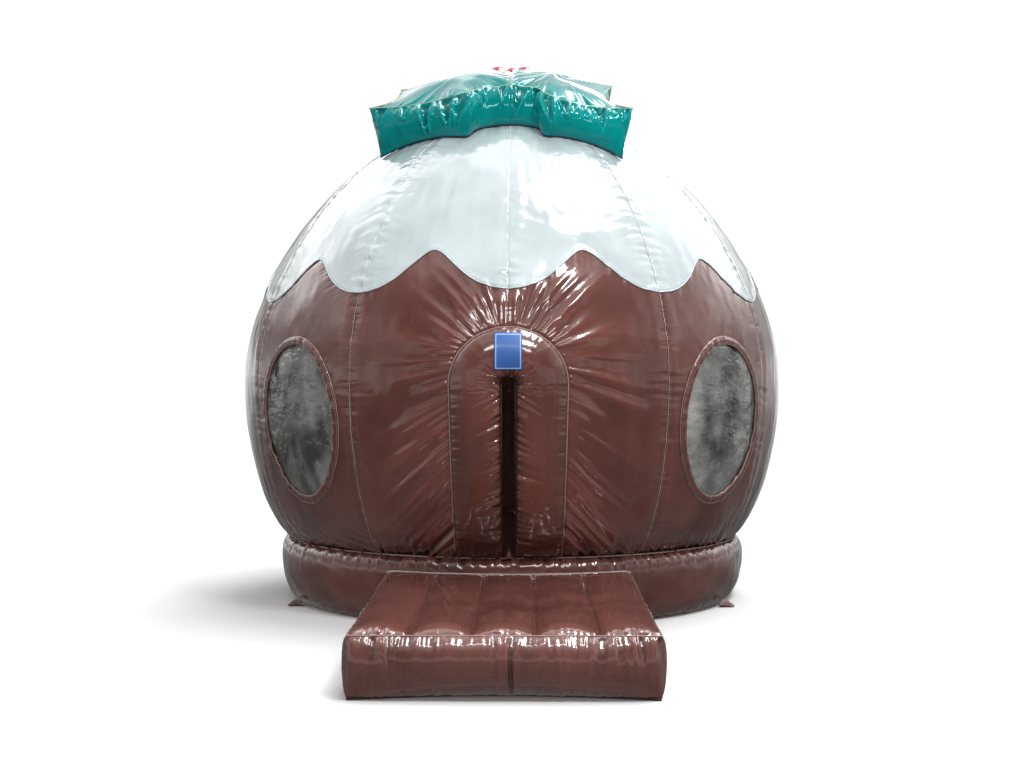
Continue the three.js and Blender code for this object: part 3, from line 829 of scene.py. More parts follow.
def welts(name, paths, radius, material, slot):
    sew(name, paths, "sewn_welt", material, slot, radius=radius, sides=WELT_SIDES)


def stitches(name, paths, material, slot, share=1.0):
    """Stitches of the sewing's pitch, with its thread or a share of the thread's width."""
    sewing = settings().sewing
    sew(name, paths, "sewn_stitches", material, slot, pitch=sewing.stitch_pitch,
        length=STITCH_LENGTH, width=sewing.stitch_width * share)


# -------- settings


def colour(name, description, default):
    return FloatVectorProperty(name=name, description=description, subtype="COLOR", size=3, min=0.0,
                               max=1.0, default=default)


def length(name, description, low, high, default):
    return FloatProperty(name=name, description=description, unit="LENGTH", min=low, max=high,
                         default=default)


def power(name, description, default):
    return FloatProperty(name=name, description=description, unit="POWER", min=0.0, max=20000.0,
                         default=default)


class PuddingColours(bpy.types.PropertyGroup):
    """Colours of the coated fabrics."""

    brown: colour("Pudding brown", "Coated fabric of the dome, base and door", (0.138, 0.044, 0.033))
    step: colour("Step brown", "Coated fabric of the entry step", (0.190, 0.070, 0.056))
    icing: colour("Icing white", "Coated fabric of the icing", (0.552, 0.622, 0.635))
    leaf: colour("Leaf green", "Coated fabric of the holly leaves", (0.0, 0.238, 0.232))
    berry: colour("Berry red", "Coated fabric of the berries", (0.560, 0.015, 0.030))
    plaque: colour("Patch blue", "Smooth patch over the doorway", (0.030, 0.120, 0.400))
    thread: colour("Thread tan", "Thread and seam edges on the brown fabric", (0.420, 0.300, 0.260))


class PuddingSewing(bpy.types.PropertyGroup):
    """Sizes of the sewing."""

    stitch_pitch: length("Stitch pitch", "Distance from one stitch to the next", 0.005, 0.1, 0.018)
    stitch_width: length("Thread width", "Width of the thread", 0.001, 0.01, 0.003)
    welt_radius: length("Seam radius", "Radius of the raised edge along a seam", 0.001, 0.01, 0.0028)


class PuddingAir(bpy.types.PropertyGroup):
    """How hard the cushions are blown up."""

    pressure: FloatProperty(
        name="Air pressure", description="Pressure in the simulated cushions",
        min=0.5, max=20.0, default=4.0)
    frames: IntProperty(
        name="Frames", description="Length of the cushions' simulation", min=5, max=60, default=20)
    reach: length("Most swell", "How far the simulation may move a point", 0.005, 0.10, 0.065)


class PuddingStudio(bpy.types.PropertyGroup):
    """Light and camera."""

    overhead: FloatProperty(
        name="Overhead light", description="Strength of the wide light above",
        min=0.0, max=20.0, default=1.86)
    skylight: FloatProperty(
        name="Skylight", description="Brightness of the long window overhead in the reflections",
        min=0.0, max=60.0, default=11.0)
    front_power: power("Front light", "Power of the light at the front right", 200.0)
    step_power: power("Step light", "Power of the long light over the entry step", 34.0)
    rear_power: power("Rear light", "Power of the wide light behind the dome", 260.0)
    cabin_power: power("Cabin light", "Power of the faint light inside the dome", 5.0)
    camera_distance: length("Camera distance", "From the dome's axis to the camera", 3.0, 30.0, 8.515)
    camera_height: length("Camera height", "Height of the camera above the ground", 0.1, 10.0, 1.288)


class PuddingSettings(bpy.types.PropertyGroup):
    """All the settings of the dome."""

    colours: PointerProperty(type=PuddingColours)
    sewing: PointerProperty(type=PuddingSewing)
    air: PointerProperty(type=PuddingAir)
    studio: PointerProperty(type=PuddingStudio)


def settings():
    return bpy.context.scene.pudding_dome


# Roughness of each fabric and strength of its crinkles.
FINISHES = {
    "brown": (0.17, 0.16),
    "step": (0.15, 0.10),
    "icing": (0.11, 0.10),
    "leaf": (0.10, 0.12),
    "berry": (0.14, 0.10),
}
LEAF_IOR = 1.32
LEAF_EDGE_TINT = (0.05, 0.75, 0.75, 1.0)


def fabric(kind):
    """The coated fabric of one colour, made the first time that it is asked for."""
    name = f"coated_fabric_{kind}"
    if name in bpy.data.materials:
        return bpy.data.materials[name]
    # The white fabric gets a weaker painted shade and highlight in its folds.
    shades = FOLD_PAINTED_SHADE_ON_WHITE if kind == "icing" else FOLD_PAINTED_SHADE
    material = coated_fabric(name, getattr(settings().colours, kind), *FINISHES[kind], shades)
    if kind == "leaf":
        inputs = material.node_tree.nodes["Principled BSDF"].inputs
        inputs["Specular Tint"].default_value = LEAF_EDGE_TINT
        inputs["IOR"].default_value = inputs["Coat IOR"].default_value = LEAF_IOR
    return material


def thread_material(name, color, depth=0.7):
    """Matt twisted thread."""
    if name in bpy.data.materials:
        return bpy.data.materials[name]
    material, tree, surface = shader(name, color, roughness=0.55)
    strands = noise(tree, 160.0, 2.0, stretch=(1, 1, 3))
    tree.links.new(clouded(tree, strands, color, depth, 1.0, 0.35, 0.65), surface.inputs["Base Color"])
    return material


def tan_thread():
    return thread_material("thread_tan", settings().colours.thread)


# -------- gores

# Size of a cell of the fabric's mesh by distance of the panel from the front: brown and icing.
GORE_CELLS = {0: (0.0066, 0.011), 1: (0.0085, 0.013), 2: (0.0105, 0.014)}
REAR_CELLS = (0.017, 0.019)
WAIST_WIDTH = GORE_ANGLE * WAIST_RADIUS
TROUGH_ARC = float(arc_at_height(SCALLOP[3][1]))  # lowest part of the icing's edge, at the seams
DOOR_CUT = 0.97  # the panels are cut out for the door this far inside its seam
ICING_LAP = 0.0035  # how far the icing's edge stands over the brown fabric


def gore_cells(index):
    from_front = min(index, GORE_COUNT - 1 - index)
    return GORE_CELLS.get(from_front, REAR_CELLS)


def gore_azimuths(index, share):
    """Azimuths across one panel at shares of its width, clear of the seams at its sides."""
    azimuth = (index + share) * GORE_ANGLE
    azimuth[0] += SEAM_GAP / WAIST_RADIUS
    azimuth[-1] -= SEAM_GAP / WAIST_RADIUS
    return azimuth


def front_azimuth(azimuth):
    """The same azimuths counted from -180 to 180 degrees."""
    return np.where(azimuth > math.pi, azimuth - 2 * math.pi, azimuth)


def cut_out(faces, inside):
    """Leaves out the quads that lie wholly inside an opening."""
    return faces[~inside[faces].all(axis=1)]


def cut_window(azimuth, arc, faces, centre):
    """Cuts a window into a panel and draws the points just inside its edge onto the edge."""
    half_angle = WINDOW_HALF_ANGLE + WINDOW_LAP / WAIST_RADIUS
    half_height = WINDOW_HALF_HEIGHT + WINDOW_LAP
    a, b = (azimuth - centre) / half_angle, (height_at(arc) - WINDOW_HEIGHT) / half_height
    reach = np.hypot(a, b)
    inside = reach < 1.0
    grow = np.where(inside, 1.0 / np.maximum(reach, 1e-6), 1.0)
    azimuth = centre + a * grow * half_angle
    arc = np.where(inside, arc_at_height(WINDOW_HEIGHT + b * grow * half_height), arc)
    return azimuth, arc, cut_out(faces, inside)


def cut_door(azimuth, arc, faces):
    """Cuts the doorway into a panel in the same way."""
    azimuth = front_azimuth(azimuth)
    x, z = radius_at(arc) * np.sin(azimuth), height_at(arc)
    reach = door_reach(x, z)
    inside = reach < DOOR_CUT
    grow = np.where(inside, DOOR_CUT / np.maximum(reach, 1e-6), 1.0)
    lifted = np.where(z > DOOR_ARCH_HEIGHT, DOOR_ARCH_HEIGHT + (z - DOOR_ARCH_HEIGHT) * grow, z)
    x, z = np.where(inside, x * grow, x), np.where(inside, lifted, z)
    azimuth = np.where(inside, np.arcsin(x / radius_at_height(z)), azimuth)
    return azimuth, np.where(inside, arc_at_height(z), arc), cut_out(faces, inside)


def pudding_gore(index):
    """The brown part of one sewn panel, with its window or its part of the doorway cut out."""
    cell = gore_cells(index)[0]
    beside_door = index in (0, GORE_COUNT - 1)
    middle = (index + 0.5) * GORE_ANGLE
    share = np.linspace(0.0, 1.0, int(WAIST_WIDTH / cell) + 1)
    level = np.linspace(0.0, 1.0, int(float(scallop_arc(middle)) / cell) + 1)
    if beside_door:
        share = np.interp(share, (0.0, 0.74, 1.0), (0.0, 0.56, 1.0))
        share = share if index == 0 else 1.0 - share[::-1]
        level = np.interp(level, (0.0, 0.55, 1.0), (0.0, 0.68, 1.0))
    azimuth = gore_azimuths(index, share)
    upper = scallop_arc(azimuth) - SEAM_GAP
    upper[[0, -1]] = TROUGH_ARC - SEAM_GAP
    arc = level[:, None] * upper[None, :]
    faces = grid_faces(*arc.shape)
    azimuth, arc = np.broadcast_to(azimuth, arc.shape).ravel(), arc.ravel()
    for centre in WINDOW_AZIMUTHS:
        if abs(middle - centre) < 0.01:
            azimuth, arc, faces = cut_window(azimuth, arc, faces, centre)
    if beside_door:
        azimuth, arc, faces = cut_door(azimuth, arc, faces)
    return dressed(azimuth, arc)[0], faces, relief(azimuth, arc)


def icing_gore(index):
    """The white part of one sewn panel, from its wavy edge to the crown patch."""
    cell = gore_cells(index)[1]
    columns = int(WAIST_WIDTH * 0.9 / cell) + 1
    rows = int((PATCH_ARC - float(scallop_arc(index * GORE_ANGLE))) / cell) + 1
    azimuth = gore_azimuths(index, np.linspace(0.0, 1.0, columns))
    lower = scallop_arc(azimuth) + SEAM_GAP
    lower[[0, -1]] = TROUGH_ARC + SEAM_GAP
    arc = mix(lower[None, :], PATCH_ARC, np.linspace(0.0, 1.0, rows)[:, None])
    azimuth = front_azimuth(np.broadcast_to(azimuth, arc.shape).ravel())
    arc = arc.ravel()
    over = ICING_LAP * smooth(0.05, 0.0, arc - scallop_arc(azimuth))
    return dressed(azimuth, arc, over)[0], grid_faces(rows, columns), relief(azimuth, arc)


class PUDDING_OT_gores(bpy.types.Operator):
    """Sew the dome's twelve panels, each in brown with its icing above, and the crown patch"""

    bl_idname = "pudding.gores"
    bl_label = "Gores"

    def execute(self, context):
        for index in range(GORE_COUNT):
            label = f"{index + 1:02d}"
            for kind, build, colour, slot in (
                    ("pudding", pudding_gore, "brown", "brown_coated_fabric"),
                    ("icing", icing_gore, "icing", "white_coated_fabric")):
                points, faces, lift = build(index)
                made = skin_piece(f"{kind}_skin_{label}", points, faces, lift=lift)
                finish_piece(made, fabric(colour), slot, f"{kind}_gore_{label}")
        self.crown()
        return {"FINISHED"}

    def crown(self):
        """The round patch where the panels meet, a little proud of them."""
        turns, stand, lap = 72, 0.007, 0.012
        share = np.linspace(0.0, 1.0, 14)[1:]
        arc, azimuth = np.meshgrid(CROWN_ARC - share * (CROWN_PATCH_RADIUS + lap), around(turns),
                                   indexing="ij")
        lift = stand + 0.0015 * swell_noise(azimuth * 4, arc * 30, 61)
        points = face_point(azimuth, arc, lift).reshape(-1, 3)
        points = np.vstack([points, [[0.0, 0.0, DOME_UPPER[3][1] + stand]]])
        faces = grid_faces(len(share), turns, wrap=True)[:, ::-1].tolist()
        faces += fan(np.arange(turns), len(points) - 1)
        made = thicken(new_object("crown_disc", points, faces))
        finish_piece(made, fabric("icing"), "white_coated_fabric", "crown_patch")


# -------- seams of the dome


def face_path(azimuth, arc, lift, closed=False):
    points, away = dressed(azimuth, arc, lift)
    return points, away, closed


def seam_paths(low, high, lift, aside=0.0, step=0.012):
    """A line up every gore seam between two arcs, set aside from it by a length."""
    over_arch = float(arc_at_height(DOOR_ARCH_HEIGHT + DOOR_ARCH_RISE)) + 0.01
    paths = []
    for number in range(GORE_COUNT):
        foot = low if number else max(low, over_arch)
        arc = np.linspace(foot, high, int((high - foot) / step) + 2)
        paths.append(face_path(number * GORE_ANGLE + aside / radius_at(arc), arc, lift))
    return paths


class PUDDING_OT_seams(bpy.types.Operator):
    """Lay the raised edges and the stitches along the dome's seams and the icing's wavy edge"""

    bl_idname = "pudding.seams"
    bl_label = "Seams"

    def execute(self, context):
        pale = thread_material("thread_white", (0.78, 0.83, 0.84), 0.92)
        brown, white = "brown_coated_fabric", "white_coated_fabric"
        radius = settings().sewing.welt_radius
        gap, beside = 0.004, 0.011
        welts("pudding_seam_edges", seam_paths(gap, TROUGH_ARC - gap, 0.0016), radius * 0.9,
              tan_thread(), brown)
        welts("icing_seam_edges", seam_paths(TROUGH_ARC + gap, PATCH_ARC, 0.0010), radius * 0.65,
              pale, white)
        azimuth = np.linspace(-math.pi, math.pi, 12 * 60 + 1)[:-1]
        edge = scallop_arc(azimuth)
        welts("icing_wavy_edge", [face_path(azimuth, edge, 0.004, True)], radius * 1.5,
              fabric("icing"), white)
        stitches("icing_edge_stitches", [face_path(azimuth, edge + 0.018, 0.005, True)], pale, white)
        rows = []
        for aside in (beside, -beside):
            rows += seam_paths(0.01, TROUGH_ARC - 0.02, 0.0012, aside)
        stitches("pudding_seam_stitches", rows, tan_thread(), brown, 0.8)
        return {"FINISHED"}


# -------- windows


def window_path(centre, margin, count, share=1.0):
    """Azimuths, arcs and turn of a window's ellipse grown by a margin, or a share of that."""
    turn = around(count)
    azimuth = centre + (WINDOW_HALF_ANGLE + margin / WAIST_RADIUS) * share * np.cos(turn)
    height = WINDOW_HEIGHT + (WINDOW_HALF_HEIGHT + margin) * share * np.sin(turn)
    return azimuth, arc_at_height(height), turn


def window_rows(margins):
    """Lines round every window, each at a margin and a lift."""
    rows = []
    for centre in WINDOW_AZIMUTHS:
        for margin, lift in margins:
            azimuth, arc, _ = window_path(centre, margin, 220)
            rows.append(face_path(azimuth, arc, lift, True))
    return rows


def film_material():
    """Clear glossy film, grey and mottled, with wavy gloss."""
    material, tree, surface = shader("clear_film", (0.30, 0.32, 0.32), roughness=0.05, alpha=0.56,
                                     coat_weight=1.0, coat_roughness=0.03)
    cloud = noise(tree, 5.0, 5.0, stretch=(1.0, 1.0, 0.7))
    tone = ramp(tree, cloud, (0.38, (0.115, 0.115, 0.108)), (0.66, (0.48, 0.48, 0.46)))
    waves = bump(tree, noise(tree, 4.0, 4.0, stretch=(1.0, 1.0, 1.6)), 0.06, 0.8)
    waves = bump(tree, noise(tree, 13.0, 2.0, stretch=(1.0, 1.0, 0.5)), 0.016, 0.7, under=waves)
    join(tree, (tone, surface.inputs["Base Color"]), (waves, surface.inputs["Normal"]),
         (waves, surface.inputs["Coat Normal"]))
    return material


# Margin outside the window's edge and lift of each line of the band's section.
BAND_SECTION = (
    (0.0, 0.0), (-0.001, 0.005), (0.003, 0.0105), (0.010, 0.0105), (0.017, 0.0135), (0.0235, 0.0145),
    (0.030, 0.0135), (0.037, 0.0105), (0.044, 0.0105), (0.048, 0.005), (0.047, 0.0), (0.0235, -0.001),
)
BAND_STITCHES = ((0.007, 0.0135), (0.040, 0.0135))
BAND_EDGES = ((0.001, 0.0085), (0.0475, 0.0045))
PANE_DEPTH = 0.006  # how far the pane's edge lies under the fabric
PANE_BLOW = 0.012  # how far its middle stands out from its edge


class PUDDING_OT_windows(bpy.types.Operator):
    """Set the clear windows and sew the bands round them"""

    bl_idname = "pudding.windows"
    bl_label = "Windows"

    def execute(self, context):
        film = film_material()
        for number, centre in enumerate(WINDOW_AZIMUTHS, 1):
            self.pane(number, centre, film)
            self.band(number, centre)
        stitches("window_band_stitches", window_rows(BAND_STITCHES), tan_thread(), "brown_coated_fabric")
        welts("window_band_edges", window_rows(BAND_EDGES), settings().sewing.welt_radius * 0.75,
              tan_thread(), "brown_coated_fabric")
        return {"FINISHED"}

    def pane(self, number, centre, film):
        rings, turns = 25, 132
        points = []
        for share in np.linspace(0.0, 1.0, rings + 1)[1:]:
            azimuth, arc, turn = window_path(centre, WINDOW_LAP, turns, share)
            blow = PANE_BLOW * (1.0 - share**2)
            wave = 0.0035 * swell_noise(azimuth * 9.0, arc * 6.0, 70 + number) * (1.0 - share**4)
            wave += puckers(turn * 0.33, (1.0 - share) * 0.4, 0.05, 0.002, 0.08, 80 + number)
            points.append(face_point(azimuth, arc, blow + wave - PANE_DEPTH))
        middle = face_point(np.array([centre]), arc_at_height([WINDOW_HEIGHT]), PANE_BLOW - PANE_DEPTH)
        faces = grid_faces(rings, turns, wrap=True).tolist()
        faces += fan(np.arange(turns)[::-1], rings * turns)
        made = new_object(f"window_film_{number}", np.vstack([*points, middle]), faces)
        finish_piece(thicken(made, FILM), film, "clear_film", f"window_pane_{number}")

    def band(self, number, centre):
        rows = []
        for margin, lift in BAND_SECTION:
            azimuth, arc, turn = window_path(centre, margin, 260)
            off = min(margin, BAND_WIDTH - margin)
            fold = puckers(turn * 0.36, off, 0.036, 0.0022, 0.030, 90 + number) if lift > 0.004 else 0.0
            rows.append(dressed(azimuth, arc, lift + fold)[0])
        points = np.vstack(rows)
        faces = grid_faces(len(rows) + 1, len(rows[0]), wrap=True) % len(points)
        made = closed_form(f"window_rim_{number}", points, faces)
        finish_piece(made, fabric("brown"), "brown_coated_fabric", f"window_band_{number}")


# -------- door


def pad_lines(share, rows):
    """x, z and length of the pad's lines at shares of its width, up one leg and down the other."""
    leg_rows = int(rows * 0.33)
    t = np.linspace(0.0, 1.0, leg_rows)
    outer = mix(DOOR_FOOT_HALF_WIDTH, DOOR_HALF_WIDTH, t)
    half = mix(SLIT_HALF_WIDTH, outer[:, None], share[None, :])
    leg_z = np.broadcast_to(mix(BASE_HEIGHT + 0.0004, DOOR_ARCH_HEIGHT, t)[:, None], half.shape)
    turn = np.linspace(0.0, math.pi, rows - 2 * leg_rows + 2)[1:-1]
    reach = mix(SLIT_HALF_WIDTH / DOOR_HALF_WIDTH, 1.0, share)[None, :]
    arch_x = DOOR_HALF_WIDTH * reach * np.cos(turn)[:, None]
    arch_z = DOOR_ARCH_HEIGHT + DOOR_ARCH_RISE * reach * np.sin(turn)[:, None]
    x = np.vstack([half, arch_x, -half[::-1]])
    z = np.vstack([leg_z, arch_z, leg_z[::-1]])
    middle = len(share) // 2
    return x, z, travelled(x[:, middle], z[:, middle])


def pad_swell(share, height):
    """How full the pad is at a share of its width, less at its sewn foot."""
    settled = np.clip((height - BASE_HEIGHT) / DOOR_SWELL_RISE, 0.0, 1.0)
    fullness = mix(DOOR_FOOT_SWELL, 1.0, np.sin(settled * math.pi / 2))
    return np.sqrt(np.maximum(4 * share * (1 - share), 0.0)) * fullness


def pad_distance(x, z, share):
    """Distance of the pad's smooth front from the plane through the dome's axis."""
    return np.sqrt(radius_at_height(z) ** 2 - x**2) + DOOR_BULGE * pad_swell(share, z)


def pad_relief(x, z, share, length):
    """Puckers and soft waves of the pad's front."""
    side = np.sign(x) + (x == 0)
    half = door_half(z) - SLIT_HALF_WIDTH
    from_slit, from_seam = share * half, (1.0 - share) * half
    path = np.broadcast_to(length[:, None], x.shape)
    leg = smooth(DOOR_ARCH_HEIGHT + 0.05, DOOR_ARCH_HEIGHT - 0.05, z)
    slope = np.radians(np.interp(z, (BASE_HEIGHT, 0.8, 1.40), (4.0, 14.0, 38.0)))
    start = mix(path, side * (z + from_slit * np.tan(slope)) + 9.0, leg)
    lift = folds(start, from_slit, (0.034, 0.0105, 0.085, 611), (0.019, 0.0050, 0.040, 617))
    lower = smooth(1.5, 0.6, z)
    lift += puckers(path, from_seam, 0.040, 0.0055, 0.062, 631) * (0.6 + 0.7 * lower)
    lift += puckers(path, from_seam, 0.022, 0.0030, 0.030, 637)
    lift += 0.0065 * swell_noise(side * 3.0 + share * 2.2, path * 3.1, 641)
    lift += puckers(x, z - BASE_HEIGHT, 0.045, 0.010, 0.080, 653)
    return lift * smooth(0.0, 0.06, share) * smooth(1.0, 0.94, share)


class PUDDING_OT_door(bpy.types.Operator):
    """Blow up the door pad, two columns joined over an open slit, and set the patch on it"""

    bl_idname = "pudding.door"
    bl_label = "Door pad"

    def execute(self, context):
        self.pad()
        self.plaque()
        x, z, _ = arch_line(70)
        x, z = np.concatenate([-x[::-1], x[1:]]), np.concatenate([z[::-1], z[1:]])
        azimuth = np.arcsin(x * DOOR_EDGE_OUT / radius_at_height(z))
        welts("door_seam_edge", [face_path(azimuth, arc_at_height(z), 0.003)],
              settings().sewing.welt_radius * 1.3, tan_thread(), "brown_coated_fabric")
        return {"FINISHED"}

    def pad(self):
        rows, columns = 460, 46
        share = (1.0 - np.cos(np.linspace(0.0, math.pi, columns))) / 2.0
        share = 0.55 * share + 0.45 * np.linspace(0.0, 1.0, columns)
        x, z, length = pad_lines(share, rows)
        wide = np.broadcast_to(share, x.shape)
        stand = pad_relief(x, z, wide, length)
        front = pad_distance(x, z, wide) + stand
        back = np.sqrt(radius_at_height(z) ** 2 - x**2) - DOOR_DEPTH
        back -= DOOR_INNER_BULGE * pad_swell(wide, z)
        points = np.vstack([grid_points(x, -front, z), grid_points(x, -back, z)])
        quads = grid_faces(rows, columns)
        faces = [quads, quads[:, ::-1] + x.size]
        at = np.arange(x.size).reshape(rows, columns)
        for line in (at[0], at[-1][::-1], at[::-1, 0], at[:, -1]):
            a, b = line[:-1], line[1:]
            faces.append(np.stack([a, a + x.size, b + x.size, b], axis=-1))
        # Painted shade: the columns' colour is darkened near the slit and towards their foot, counted as
        # crease depth.
        tone = stand - PAD_SLIT_PAINTED_SHADE * np.exp(-((wide / 0.15) ** 2)) - PAD_FOOT_PAINTED_SHADE * smooth(0.85, 0.45, z)
        lift = np.concatenate([tone.ravel(), np.zeros(x.size)])
        made = closed_form("door_columns", points, np.vstack(faces), lift)
        finish_piece(made, fabric("brown"), "brown_coated_fabric", "door_pad")

    def plaque(self):
        rows, columns = 27, 21
        z, x = np.meshgrid(np.linspace(PLAQUE_BOTTOM, PLAQUE_TOP, rows),
                           np.linspace(-PLAQUE_WIDTH / 2, PLAQUE_WIDTH / 2, columns), indexing="ij")
        slit = SLIT_HALF_WIDTH / DOOR_HALF_WIDTH
        share = np.clip((door_reach(x, z) - slit) / (1 - slit), 0.0, 1.0)
        wave = 0.0015 * swell_noise(x * 14.0, z * 14.0, 71)
        points = grid_points(x, -(pad_distance(x, z, share) + 0.010 + wave), z)
        made = skin_piece("door_patch", points, grid_faces(rows, columns), THICK_SKIN)
        finish_piece(made, patch_material(), "blue_printed_patch", "door_plaque")


def patch_material():
    """Smooth blue patch with a pale line near its edge."""
    color = settings().colours.plaque
    material, tree, surface = shader("blue_patch", color, roughness=0.42, coat_weight=0.12)
    place = add(tree, "ShaderNodeTexCoord")
    split = add(tree, "ShaderNodeSeparateXYZ")
    middle, half_height = (PLAQUE_BOTTOM + PLAQUE_TOP) / 2, (PLAQUE_TOP - PLAQUE_BOTTOM) / 2
    across = maths(tree, "SUBTRACT", PLAQUE_WIDTH / 2, maths(tree, "ABSOLUTE", split.outputs["X"]))
    from_middle = maths(tree, "SUBTRACT", split.outputs["Z"], middle)
    up = maths(tree, "SUBTRACT", half_height, maths(tree, "ABSOLUTE", from_middle))
    line = maths(tree, "COMPARE", maths(tree, "MINIMUM", across, up), 0.010, 0.0022)
    cloud = clouded(tree, noise(tree, 12.0), color, 0.9, 1.12)
    paint = add(tree, "ShaderNodeMix", {7: (0.42, 0.56, 0.75, 1.0)}, data_type="RGBA")
    grain = bump(tree, noise(tree, 40.0, 2.0), 0.003, 0.15)
    join(tree, (place.outputs["Object"], split.inputs["Vector"]), (line, paint.inputs[0]),
         (cloud, paint.inputs[6]), (paint.outputs[2], surface.inputs["Base Color"]),
         (grain, surface.inputs["Normal"]))
    return material


# -------- base mattress and tabs


def base_profile():
    """Radius, height and length of the base's side from the ground to the dome's foot."""
    lower = bezier(BASE_LOWER, np.linspace(0.0, 1.0, 24))
    upper = bezier(BASE_UPPER, np.linspace(0.0, 1.0, 22))[1:]
    radius, height = np.vstack([lower, upper]).T
    return radius, height, travelled(radius, height)


class PUDDING_OT_base(bpy.types.Operator):
    """Blow up the ring-shaped base mattress, with its hem and its anchor tabs"""

    bl_idname = "pudding.base"
    bl_label = "Base and tabs"

    def execute(self, context):
        self.mattress()
        self.hem()
        self.tongue()
        webbing = webbing_material()
        for number, azimuth in enumerate(TAB_AZIMUTHS, 1):
            self.tab(number, azimuth, webbing)
        return {"FINISHED"}

    def mattress(self):
        turns = 1500
        radius, height, length = base_profile()
        rows, azimuth = len(length), around(turns) - math.pi
        up, girth = np.meshgrid(length, azimuth * BASE_RADIUS, indexing="ij")
        down = length[-1] - up
        lift = folds(girth, down, (0.034, 0.0100, 0.065, 711), (0.061, 0.0080, 0.125, 717))
        lift += puckers(girth, up, 0.055, 0.0060, 0.080, 723)
        lift += 0.0055 * swell_noise(girth * 2.4, up * 5.0, 731)
        lift += 0.0022 * swell_noise(girth * 8.0 + up * 6.0, up * 16.0, 733)
        lift *= smooth(0.0, 0.02, down) * smooth(0.0, 0.02, up)
        r = radius[:, None] + np.gradient(height, length)[:, None] * lift
        z = np.maximum(height[:, None] - np.gradient(radius, length)[:, None] * lift, 0.0)
        z[0] = 0.0
        side = round_axis(r, azimuth, z).reshape(-1, 3)
        floor, floor_faces = self.floor_disc(turns, (rows - 1) * turns, rows * turns)
        faces = grid_faces(rows, turns, wrap=True).tolist() + floor_faces + [range(turns)[::-1]]
        lift = np.concatenate([lift.ravel(), np.zeros(len(floor))])
        made = closed_form("base_cushion", np.vstack([side, floor]), faces, lift)
        made.data.polygons[-1].use_smooth = False
        finish_piece(made, fabric("brown"), "brown_coated_fabric", "base_mattress")

    def floor_disc(self, turns, first, after):
        """Rings from the dome's foot to the middle of the floor inside, most with half the points."""
        points, faces, ring = [], [], np.arange(first, first + turns)
        for share in (0.985, 0.95, 0.8, 0.6, 0.4, 0.2):
            count = len(ring) if len(ring) <= 94 else (len(ring) + 1) // 2
            sag = 0.006 * math.sin(share * 20.0) - 0.004
            points.append(round_axis(DOME_LOWER[0][0] * share, around(count) - math.pi, BASE_HEIGHT + sag))
            inner = np.arange(after, after + count)
            for k in range(count):
                here, beyond = inner[k], inner[(k + 1) % count]
                if count == len(ring):
                    faces.append((ring[k], ring[(k + 1) % count], beyond, here))
                else:
                    a, b, c = (ring[(2 * k + more) % len(ring)] for more in range(3))
                    faces += [(a, b, here), (b, c, beyond), (b, beyond, here)]
            ring, after = inner, after + count
        return np.vstack(points), [*faces, ring]

    def hem(self):
        azimuth = np.linspace(-math.pi, math.pi, 721)[:-1]
        away = round_axis(1.0, azimuth, 0.0)
        wave = 0.0025 * ripple(azimuth * 1.5, 0.12, 741)
        for name, radius, height, thickness, material in (
                ("base_top_edge", 1.530, 0.404, 0.0045, tan_thread()),
                ("base_ground_hem", 1.478, 0.0065, 0.0065, fabric("brown"))):
            line = round_axis(radius + wave, azimuth, height)
            welts(name, [(line, away, True)], thickness, material, "brown_coated_fabric")

    def tongue(self):
        """The base's fabric drawn up to a point between the door's two columns."""
        t, across = sheet_shares(25, 33)
        peak = TONGUE_HEIGHT * (1.0 - np.abs(across)) ** 1.25 * np.sin(math.pi * t) ** 0.8
        fold = 0.004 * ripple(across * 0.1, 0.025, 747) * np.sin(math.pi * t)
        z = BASE_HEIGHT + 0.002 + np.maximum(peak + fold, 0.0)
        points = grid_points(across * TONGUE_HALF_WIDTH, mix(*TONGUE_DEPTHS, t), z)
        made = skin_piece("slit_fold", points, grid_faces(*t.shape), lift=fold.ravel())
        finish_piece(made, fabric("brown"), "brown_coated_fabric")

    def tab(self, number, azimuth, webbing):
        """A slack triangle of fabric gathered to its tip."""
        t, across = sheet_shares(22, 25)
        radius = mix(*TAB_RADII, t)
        half = mix(*TAB_HALF_WIDTHS, t**0.8)
        crown = mix(*TAB_HEIGHTS, t) * (1.0 - 0.72 * np.abs(across) ** 1.6)
        fold = 0.0045 * np.cos(across * 15.0 + 0.8 * number) * np.sin(math.pi * np.clip(t * 1.1, 0, 1))
        z = np.maximum(crown + fold, 0.0045)
        points = round_axis(radius, azimuth + across * half / radius, z).reshape(-1, 3)
        made = skin_piece(f"ground_tab_{number}", points, grid_faces(*t.shape), THICK_SKIN)
        finish_piece(made, webbing, "brown_webbing", f"anchor_tab_{number}")


def webbing_material():
    """Slack, duller fabric of the tabs with a woven grain."""
    color = (0.105, 0.046, 0.038)
    material, tree, surface = shader("tab_fabric", color, roughness=0.42)
    join(tree, (clouded(tree, noise(tree, 60.0), color, 0.75, 1.2), surface.inputs["Base Color"]),
         (bump(tree, noise(tree, 420.0, 1.0), 0.001, 0.4), surface.inputs["Normal"]))
    return material


# -------- cushions blown up as cloth


CLOTH = {
    "quality": 5,
    "mass": 0.2,
    "vertex_group_mass": "held",
    "use_pressure": True,
    "tension_stiffness": 20.0,
    "compression_stiffness": 20.0,
    "shear_stiffness": 8.0,
    "bending_stiffness": 0.4,
}


def group_points(made, name, chosen):
    made.vertex_groups.new(name=name).add(np.flatnonzero(chosen).tolist(), 1.0, "REPLACE")


